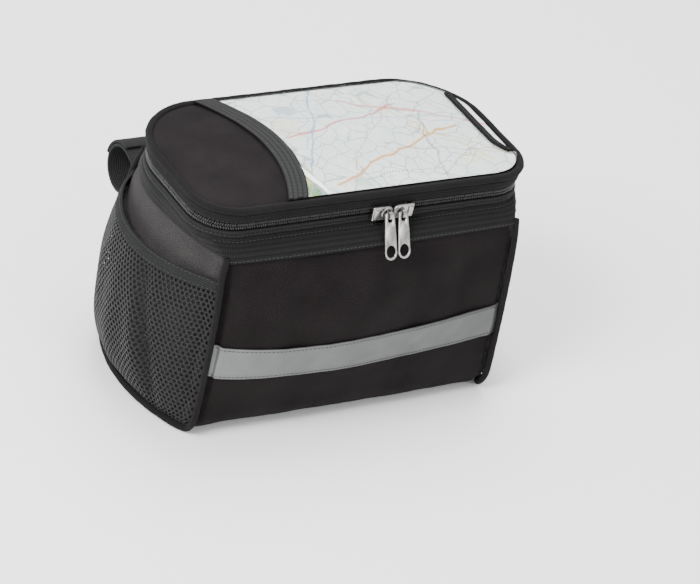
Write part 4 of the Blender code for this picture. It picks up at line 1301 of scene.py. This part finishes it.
# %% Clear film
def film_finish():
    finish = Finish("clear_film", (0.9, 0.93, 0.94), 0.09)
    body = finish.coords("Object")
    ripple = finish.noise(body, 60.0, 2.0)
    normal = finish.bump(ripple, 0.00022)
    gloss = finish.add(
        "BsdfGlossy", {"Color": (1.0, 1.0, 1.0, 1.0), "Roughness": 0.12, "Normal": normal}
    )
    clear = finish.add("BsdfTransparent", {"Color": (0.965, 0.975, 0.975, 1.0)})
    outer = finish.math("SUBTRACT", 1.0, finish.add("NewGeometry").outputs["Backfacing"])
    edge = finish.math(
        "MULTIPLY", finish.add("Fresnel", {"IOR": 1.42, "Normal": normal}).outputs[0], outer
    )
    blend = finish.add("MixShader", {0: edge, 1: clear.outputs[0], 2: gloss.outputs[0]})
    output = finish.tree.nodes["Material Output"]
    finish.tree.links.new(blend.outputs[0], output.inputs["Surface"])
    return finish.material


def film_right(y):
    edge = lid_half_width(y, LAYER_INSET)
    return min(float(mouth_middle(y)) + 0.001, edge) if y > MOUTH_FRONT_Y else edge


film_rows = lid_layer_rows(sheet_left, film_right, 0.0017, 0.0046, 111, 81, BACK_EDGE)
x, y = film_rows[..., 0], film_rows[..., 1]
film_rows[..., 2] += 0.7 * fold_relief(film_rows) + 0.0004 * soft_noise(film_rows, 0.028, 60.0)
lip = np.exp(-(((x - 0.099) / 0.010) ** 2) - (((y + 0.041) / 0.010) ** 2))
film_rows[..., 2] += 0.0012 * lip
cloth_piece(
    "window_film", film_rows, film_finish(), 0.0003, ("map_window",),
    uv=flat_map(film_rows), middle=UNDER_LID
)

# %% Mouth tape
mouth_y = np.linspace(MOUTH_FRONT_Y + 0.002, 0.0300, 70)
mouth_rows = []
for share in np.linspace(-0.5, 0.5, 9):
    x = np.minimum(
        mouth_middle(mouth_y) + share * MOUTH_TAPE_WIDTH,
        [lid_half_width(y, 0.0042) for y in mouth_y]
    )
    mouth_rows.append(
        np.column_stack(
            (x, mouth_y, lid_height(x, mouth_y) + 0.0026 + 0.0008 * math.cos(math.pi * share))
        )
    )
mouth_rows = np.array(mouth_rows)
mouth_rows[..., 2] += 0.0003 * soft_noise(mouth_rows, 0.014, 70.0)
cloth_piece(
    "mouth_binding", mouth_rows, binding_cloth, 0.0016, ("mouth_tape",), middle=UNDER_LID
)
thread_piece("mouth_stitches", [row_route(mouth_rows, 0.3, flip=-1.0)], 0.0024, 0.00035)
print("window stands")

# %% [markdown]
# ## Net pockets
# Each end has a pocket of knitted net. One mesh of the net is a ring between a six-sided cell and
# a round hole. It is repeated in staggered rows by spin without turning, welded, and then laid
# on the pocket's bulging form, so every hole is open and the panel shows behind it.

# %% Flat net
POCKET_DEPTH, POCKET_BOTTOM, POCKET_TOP = 0.0120, 0.0065, 0.1020
POCKET_SAG, POCKET_SEAM, POCKET_BAND = 0.0045, 0.0065, 0.0075
POCKET_GAP = 0.0009
NET_PITCH, YARN_THICKNESS = 0.0032, 0.0006


def flat_net(width, height):
    """A flat net in its own plane, as a bmesh of open cells."""
    bm = bmesh.new()
    radius = NET_PITCH / math.sqrt(3)
    bmesh.ops.create_circle(bm, segments=6, radius=radius)
    bmesh.ops.subdivide_edges(bm, edges=bm.edges[:], cuts=1)
    outer = bm.edges[:]
    ring = bmesh.ops.create_circle(bm, segments=12, radius=NET_PITCH * 0.36)["verts"]
    bmesh.ops.scale(bm, verts=ring, vec=(0.92, 1.06, 1.0))
    inner = [edge for edge in bm.edges if edge not in set(outer)]
    bmesh.ops.bridge_loops(bm, edges=outer + inner)
    step = Vector((NET_PITCH, 0.0, 0.0))
    lift = Vector((NET_PITCH / 2, radius * 1.5, 0.0))
    bmesh.ops.spin(
        bm, geom=bm.faces[:], cent=(0, 0, 0), axis=(0, 0, 1), dvec=lift, angle=0.0, steps=1,
        use_duplicate=True
    )
    across, up = int(width / NET_PITCH) + 2, int(height / (3 * radius)) + 2
    bmesh.ops.spin(
        bm, geom=bm.faces[:], cent=(0, 0, 0), axis=(0, 0, 1), dvec=step, angle=0.0, steps=across,
        use_duplicate=True
    )
    rise = Vector((0.0, 3 * radius, 0.0))
    bmesh.ops.spin(
        bm, geom=bm.faces[:], cent=(0, 0, 0), axis=(0, 0, 1), dvec=rise, angle=0.0, steps=up,
        use_duplicate=True
    )
    bmesh.ops.remove_doubles(bm, verts=bm.verts, dist=NET_PITCH * 0.02)
    return bm


def pocket_along(share, height):
    path = plan_path_cached("side", round(height, 4))
    length = np.linalg.norm(np.diff(path, axis=0), axis=1).sum()
    return (POCKET_SEAM + share * (length - 2 * POCKET_SEAM)) / length


def pocket_place(share, height):
    """A place on the right pocket, which stands off the end panel between its seams."""
    rise = np.clip((height - POCKET_BOTTOM) / (POCKET_TOP - POCKET_BOTTOM), 0, 1)
    fill = math.sin(math.pi * 0.93 * rise**0.8) ** 0.6 if rise > 0 else 0.0
    inside = np.clip(share, 0, 1)
    out = POCKET_GAP + POCKET_DEPTH * math.sin(math.pi * inside) ** 0.8 * fill
    return off_side(np.clip(pocket_along(share, height), 0.0, 1.0), height, out)


def pocket_mouth(share):
    return POCKET_TOP - POCKET_SAG * math.sin(math.pi * np.clip(share, 0, 1))


POCKET_SHARES = np.linspace(-0.050, 1.050, 45)
pocket_grid = []
for level in np.linspace(0.0, 1.0, 31):
    row = []
    for share in POCKET_SHARES:
        base = POCKET_BOTTOM - 0.002 + seam_rise(pocket_along(share, BASE_BACK_RADIUS))
        top = pocket_mouth(share) - POCKET_BAND / 2
        row.append(pocket_place(share, base + level * (top - base)))
    pocket_grid.append(row)
pocket_grid = np.array(pocket_grid)


def net_folds(grid, seed):
    """Soft upright folds: one deep crease near the front, and smaller waves behind it."""
    share = np.linspace(0, 1, grid.shape[1])[None]
    level = np.linspace(0, 1, grid.shape[0])[:, None]
    crease = 0.37 - 0.17 * (1 - level)
    relief = (
        -0.0042 * np.exp(-(((share - crease) / 0.028) ** 2))
        * np.sin(math.pi * np.clip(level, 0, 1)) ** 0.6
    )
    relief = (
        relief + 0.0012 * np.exp(-(((share - crease - 0.07) / 0.04) ** 2)) * np.sin(math.pi * level)
    )
    relief = (
        relief
        + 0.0007 * np.sin(share * 34 + 3 * level + seed) * np.sin(math.pi * level) * np.sin(
            math.pi * share
        )
    )
    return relief + 0.0006 * soft_noise(grid, 0.02, seed)


def lay_on(bm, grid):
    """Moves a flat net's points onto a pocket's grid and gives it a UV map."""
    flat = np.array([vert.co[:2] for vert in bm.verts])
    width = np.linalg.norm(np.diff(grid, axis=1), axis=2).sum(axis=1).mean()
    height = np.linalg.norm(np.diff(grid, axis=0), axis=2).sum(axis=0).mean()
    u, v = flat[:, 0] / width * (grid.shape[1] - 1), flat[:, 1] / height * (grid.shape[0] - 1)
    outside = (u < 0) | (u > grid.shape[1] - 1) | (v < 0) | (v > grid.shape[0] - 1)
    column = np.clip(u.astype(int), 0, grid.shape[1] - 2)
    row = np.clip(v.astype(int), 0, grid.shape[0] - 2)
    s, t = (
        np.clip(u, 0, grid.shape[1] - 1) - column
    )[:, None], (np.clip(v, 0, grid.shape[0] - 1) - row)[:, None]
    low = grid[row, column] * (1 - s) + grid[row, column + 1] * s
    high = grid[row + 1, column] * (1 - s) + grid[row + 1, column + 1] * s
    places = low * (1 - t) + high * t
    uv_layer = bm.loops.layers.uv.new("UVMap")
    bm.verts.index_update()
    for face in bm.faces:
        face.smooth = True
        for loop in face.loops:
            loop[uv_layer].uv = flat[loop.vert.index]
    for vert, place in zip(bm.verts, places):
        vert.co = place
    bm.verts.ensure_lookup_table()
    lost = [face for face in bm.faces if all(outside[vert.index] for vert in face.verts)]
    bmesh.ops.delete(bm, geom=lost, context="FACES")
    return width, height


def net_finish():
    finish = Finish(
        "knitted_net", (0.011, 0.0105, 0.011), 0.6, Sheen_Weight=0.04, Specular_IOR_Level=0.2
    )
    body = finish.coords("Object")
    yarn = finish.add(
        "TexWave", {"Vector": body, "Scale": 700.0, "Distortion": 3.0, "Detail": 1.0},
        wave_type="BANDS", bands_direction="DIAGONAL"
    ).outputs[0]
    finish.tint((0.0052, 0.0049, 0.0051), finish.range(yarn, 0.0, 1.0, 0.4, 2.4))
    finish.drive("Normal", finish.bump(yarn, 0.00012))
    return finish.material


net_cloth = net_finish()
for side, word in SIDES:
    grid = pushed(pocket_grid, net_folds(pocket_grid, 80.0 + 3 * side))
    grid = mirrored(grid, side)
    span = np.linalg.norm(np.diff(grid, axis=1), axis=2).sum(axis=1).mean()
    net_bm = flat_net(span, np.linalg.norm(np.diff(grid, axis=0), axis=2).sum(axis=0).mean())
    width, height = lay_on(net_bm, grid)
    bmesh.ops.recalc_face_normals(net_bm, faces=net_bm.faces)
    faces_out(net_bm)
    print("net", word, len(net_bm.faces), "faces,", round(width, 3), "x", round(height, 3), "m")
    net = place_piece(
        "knitted_net_" + word, net_bm, net_cloth, replaced=("net_pocket_" + word,)
    )
    yarn = net.modifiers.new("Yarn", "SOLIDIFY")
    yarn.thickness = YARN_THICKNESS
    yarn.offset = 0.0

# %% Pocket bands
for side, word in SIDES:
    band = []
    for level in np.linspace(0, 1, 9):
        band.append(
            [
                pocket_place(share, pocket_mouth(share) - POCKET_BAND * (1 - level))
                for share in np.linspace(-0.052, 1.052, 61)
            ]
        )
    band = np.array(band)
    puff = (
        0.0005 + 0.0006 * np.sin(np.linspace(0, math.pi, 9))[:, None]
        + 0.0004 * soft_noise(band, 0.016, 90.0 + side)
    )
    band = mirrored(pushed(band, puff), side)
    cloth_piece(
        "pocket_hem_" + word, band, elastic_cloth, 0.0014, ("pocket_band_" + word,)
    )
    thread_piece(
        "pocket_hem_stitches_" + word, [row_route(band, share, flip=side) for share in (0.2, 0.85)],
        0.0028, 0.0004
    )
print("pockets stand")

# %% [markdown]
# ## Sliders and pull tabs
# The sliders and tabs are die-cast and plated with satin nickel. A slider is a plate with a low
# dome and an arch, and the tab's bar passes under the arch, so the tab swings freely on it.

# %% Nickel finish
def nickel_finish():
    finish = Finish("satin_nickel", (0.30, 0.29, 0.275), 0.3, Metallic=1.0)
    body = finish.coords("Object")
    wear = finish.noise(body, 420.0, 3.0, 0.6)
    finish.drive("Roughness", finish.range(wear, 0.3, 0.7, 0.20, 0.38))
    brush = finish.add("Mapping", {"Vector": body, "Scale": (2600.0, 2600.0, 90.0)}).outputs[0]
    tint = finish.mix(
        finish.range(finish.noise(body, 150.0), 0.3, 0.7, 0.0, 1.0), (0.36, 0.35, 0.335, 1.0),
        (0.26, 0.253, 0.243, 1.0)
    )
    finish.drive("Base Color", tint)
    finish.drive("Normal", finish.bump(finish.noise(brush, 1.0, 1.0), 0.00001))
    return finish.material


nickel = nickel_finish()


def soften(bm, offset, segments=3, sharp=0.9):
    """Bevels each edge of a bmesh whose faces meet at more than the sharp angle, in radians."""
    edges = [edge for edge in bm.edges if edge.calc_face_angle(0.0) > sharp]
    bmesh.ops.bevel(
        bm, geom=edges, offset=offset, segments=segments, profile=0.5, affect="EDGES", material=-1
    )


def ring_of(bm, points, y):
    """A closed loop of edges through (x, z) points at one depth."""
    verts = [bm.verts.new((x, y, z)) for x, z in points]
    return [bm.edges.new(pair) for pair in zip(verts, verts[1:] + verts[:1])]


def plate_between(bm, loops, y, thickness):
    """A flat plate with holes: the first loop is its outline and the others are holes."""
    edges = [edge for loop in loops for edge in ring_of(bm, loop, y)]
    bmesh.ops.triangle_fill(bm, use_beauty=True, edges=edges)
    grown = bmesh.ops.extrude_face_region(bm, geom=bm.faces[:])["geom"]
    moved = [item for item in grown if isinstance(item, bmesh.types.BMVert)]
    bmesh.ops.translate(bm, verts=moved, vec=(0.0, thickness, 0.0))
    bmesh.ops.recalc_face_normals(bm, faces=bm.faces)


def rounded_corner(centre_x, centre_z, radius, start, count=7):
    turns = np.radians(np.linspace(start, start + 90, count))
    return [(centre_x + radius * math.cos(a), centre_z + radius * math.sin(a)) for a in turns]


# %% Pull tabs
PINS = {-1: Vector((0.0073, -0.06085, 0.1310)), 1: Vector((0.0161, -0.06085, 0.1310))}
TAB_LENGTH, TAB_TOP, TAB_THICKNESS, TAB_LEAN = 0.0256, 0.0013, 0.0013, math.radians(26.0)
TAB_HEAD_HALF, TAB_FOOT_HALF = 0.0031, 0.0040
HOLE_AT, HOLE_HALF_WIDTH, HOLE_HALF_HEIGHT = 0.0207, 0.0029, 0.0035
TAB_SLOT = (-0.0026, 0.00145, 0.0016)


def oval(x, z, half_width, half_height, count=36):
    turns = np.linspace(0, 2 * math.pi, count, endpoint=False)
    return [(x + half_width * math.cos(a), z + half_height * math.sin(a)) for a in turns]


def tab_outline():
    corner = 0.0013
    head = rounded_corner(TAB_HEAD_HALF - corner, TAB_TOP - corner, corner, 0)
    foot = [
        (TAB_FOOT_HALF * math.cos(a), TAB_FOOT_HALF * (1 + math.sin(a)) - TAB_LENGTH)
        for a in np.radians(np.linspace(-90, 0, 13))
    ]
    right = foot + [(0.0037, -0.0100)] + head
    return right + [(-x, z) for x, z in reversed(right[1:])]


for side, word in SIDES:
    bm = bmesh.new()
    slot = oval(0.0, *TAB_SLOT, 20)
    plate_between(
        bm, [tab_outline(), slot, oval(0.0, -HOLE_AT, HOLE_HALF_WIDTH, HOLE_HALF_HEIGHT)],
        -TAB_THICKNESS / 2, TAB_THICKNESS
    )
    soften(bm, 0.00042)
    bmesh.ops.rotate(bm, verts=bm.verts, cent=(0, 0, 0), matrix=Matrix.Rotation(-TAB_LEAN, 3, "X"))
    bmesh.ops.translate(bm, verts=bm.verts, vec=PINS[side])
    smooth_faces(bm)
    tab = place_piece(
        "pull_tab_" + word, bm, nickel, word + "_pull", replaced=("pull_" + word,)
    )
    tab.data.set_sharp_from_angle(angle=math.radians(50))

# %% Sliders
for side, word in SIDES:
    low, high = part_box("slider_" + word)
    face_y, pin = high[1] - 0.0030, PINS[side]
    outer_x = pin.x + side * 0.0092
    inner_x = pin.x - side * 0.0042
    bm = bmesh.new()
    half = 0.0045
    right_x, left_x = max(outer_x, inner_x), min(outer_x, inner_x)
    right_r, left_r = (0.0009, 0.0038) if side > 0 else (0.0038, 0.0009)
    middle_z = pin.z - 0.0008
    loop = (
        rounded_corner(right_x - right_r, middle_z + half - right_r, right_r, 0)
        + rounded_corner(left_x + left_r, middle_z + half - left_r, left_r, 90)
    )
    loop += (
        rounded_corner(left_x + left_r, middle_z - half + left_r, left_r, 180)
        + rounded_corner(right_x - right_r, middle_z - half + right_r, right_r, 270)
    )
    plate_between(bm, [loop], face_y, 0.0028)
    soften(bm, 0.00075)
    dome = bmesh.ops.create_uvsphere(bm, u_segments=32, v_segments=20, radius=1.0)["verts"]
    bmesh.ops.scale(bm, verts=dome, vec=(0.0036, 0.0011, 0.0039))
    bmesh.ops.translate(bm, verts=dome, vec=(pin.x, face_y + 0.0004, middle_z))
    rail = bmesh.ops.create_cube(bm, size=1.0)["verts"]
    bmesh.ops.scale(bm, verts=rail, vec=(0.0034, 0.0012, 0.0062))
    bmesh.ops.translate(bm, verts=rail, vec=(outer_x - side * 0.0024, face_y - 0.0001, middle_z))
    rail_edges = list({edge for vert in rail for edge in vert.link_edges})
    bmesh.ops.bevel(
        bm, geom=rail_edges, offset=0.0005, segments=3, profile=0.5, affect="EDGES", material=-1
    )
    arch = bmesh.ops.create_cube(bm, size=1.0)["verts"]
    bmesh.ops.scale(bm, verts=arch, vec=(0.0019, 0.0024, 0.0008))
    bmesh.ops.translate(bm, verts=arch, vec=(pin.x, pin.y + 0.0012, pin.z - 0.0021))
    front = min(
        (face for face in bm.faces if all(vert in arch for vert in face.verts)),
        key=lambda face: face.calc_center_median().y
    )
    ring = [front] + list(front.edges) + list(front.verts)
    bent = bmesh.ops.spin(
        bm, geom=ring, cent=pin, axis=(1, 0, 0), angle=-math.pi, steps=14, dvec=(0, 0, 0),
        use_duplicate=False
    )
    end_face = [item for item in bent["geom_last"] if isinstance(item, bmesh.types.BMFace)]
    grown = bmesh.ops.extrude_face_region(bm, geom=end_face)["geom"]
    bmesh.ops.translate(
        bm, verts=[item for item in grown if isinstance(item, bmesh.types.BMVert)],
        vec=(0.0, 0.0024, 0.0)
    )
    inner_faces = [face for face in bm.faces if any(not edge.is_manifold for edge in face.edges)]
    print("slider", word, "open faces:", len(inner_faces))
    bmesh.ops.recalc_face_normals(bm, faces=bm.faces)
    smooth_faces(bm)
    slider = place_piece(
        "zip_slider_" + word, bm, nickel, replaced=("slider_" + word,)
    )
    slider.data.set_sharp_from_angle(angle=math.radians(40))

# %% [markdown]
# ## Back straps
# Two webbing straps on the back are closed into loops with hook-and-loop tape. Each strap is
# one loop with an overlapped end, stitched through along its edges.

# %% Straps
LOOP_RADIUS, LOOP_HEIGHT, LOOP_CENTRE_Y, SEAT_Y = 0.0127, 0.0870, 0.0755466, 0.0625466
STRAP_WIDTH, STRAP_WALL, STRAP_X = 0.0250, 0.0018, 0.0745
LOOP_GAP = 0.0003


def rounded_path(points, closed, rounds=3):
    """Cuts the corners of a path again and again, until it runs smoothly."""
    path = np.array(points)
    for _round in range(rounds):
        ahead = np.roll(path, -1, axis=0) if closed else path[1:]
        here = path if closed else path[:-1]
        cut = np.stack(
            (0.75 * here + 0.25 * ahead, 0.25 * here + 0.75 * ahead), axis=1
        ).reshape(-1, 2)
        path = cut if closed else np.vstack((path[:1], cut, path[-1:]))
    return path


def loop_arc(radius, start, end, count):
    turns = np.radians(np.linspace(start, end, count))
    return [
        (LOOP_CENTRE_Y + radius * math.cos(a), LOOP_HEIGHT + radius * math.sin(a)) for a in turns
    ]


def strap_rows(path, side, width=STRAP_WIDTH, count=9):
    """Rows across the strap: the first row is its left edge, and each runs along the path."""
    rows = []
    for share in np.linspace(-0.5, 0.5, count):
        x = np.full(len(path), side * STRAP_X + share * width)
        rows.append(np.column_stack((x, path[:, 0], path[:, 1])))
    return np.array(rows)


loop_points = (
    [(SEAT_Y, LOOP_HEIGHT - 0.0100)] + loop_arc(LOOP_RADIUS + LOOP_GAP, -105, 105, 31)
    + [(SEAT_Y, LOOP_HEIGHT + 0.0100)]
)
strap_webbing = cloth_finish(
    "strap_webbing", (0.0200, 0.0200, 0.0204), thread=0.0008, rib=0.0012, fuzz=0.45, lift=0.00012
)
for side, word in SIDES:
    loop_middle = (side * STRAP_X, LOOP_CENTRE_Y, LOOP_HEIGHT)
    path = rounded_path(loop_points, True, 2)
    rows = strap_rows(np.vstack((path, path[:1])), side)
    strap = cloth_piece(
        "bar_strap_" + word, rows, strap_webbing, STRAP_WALL, ("strap_" + word,),
        closed=True, outward=True, middle=loop_middle
    )
    end_path = np.array(loop_arc(LOOP_RADIUS + LOOP_GAP + STRAP_WALL + LOOP_GAP, 5, 100, 41))
    end_rows_here = strap_rows(end_path, side)
    end = cloth_piece(
        "strap_overlap_" + word, end_rows_here, strap_webbing, STRAP_WALL,
        ("strap_end_" + word,), outward=True, middle=loop_middle
    )
    for piece in (strap, end):
        round_edge = piece.modifiers.new("Edge", "BEVEL")
        round_edge.width = 0.0005
        round_edge.segments = 2
        round_edge.limit_method = "ANGLE"
        round_edge.angle_limit = math.radians(60)
    lifted = strap_rows(
        np.array(loop_arc(LOOP_RADIUS + LOOP_GAP + 2 * STRAP_WALL + LOOP_GAP, 9, 96, 41)), side
    )
    thread_piece(
        "strap_stitches_" + word, [row_route(lifted, share, flip=-1.0) for share in (0.1, 0.9)],
        thread=0.0004
    )
print("straps stand")
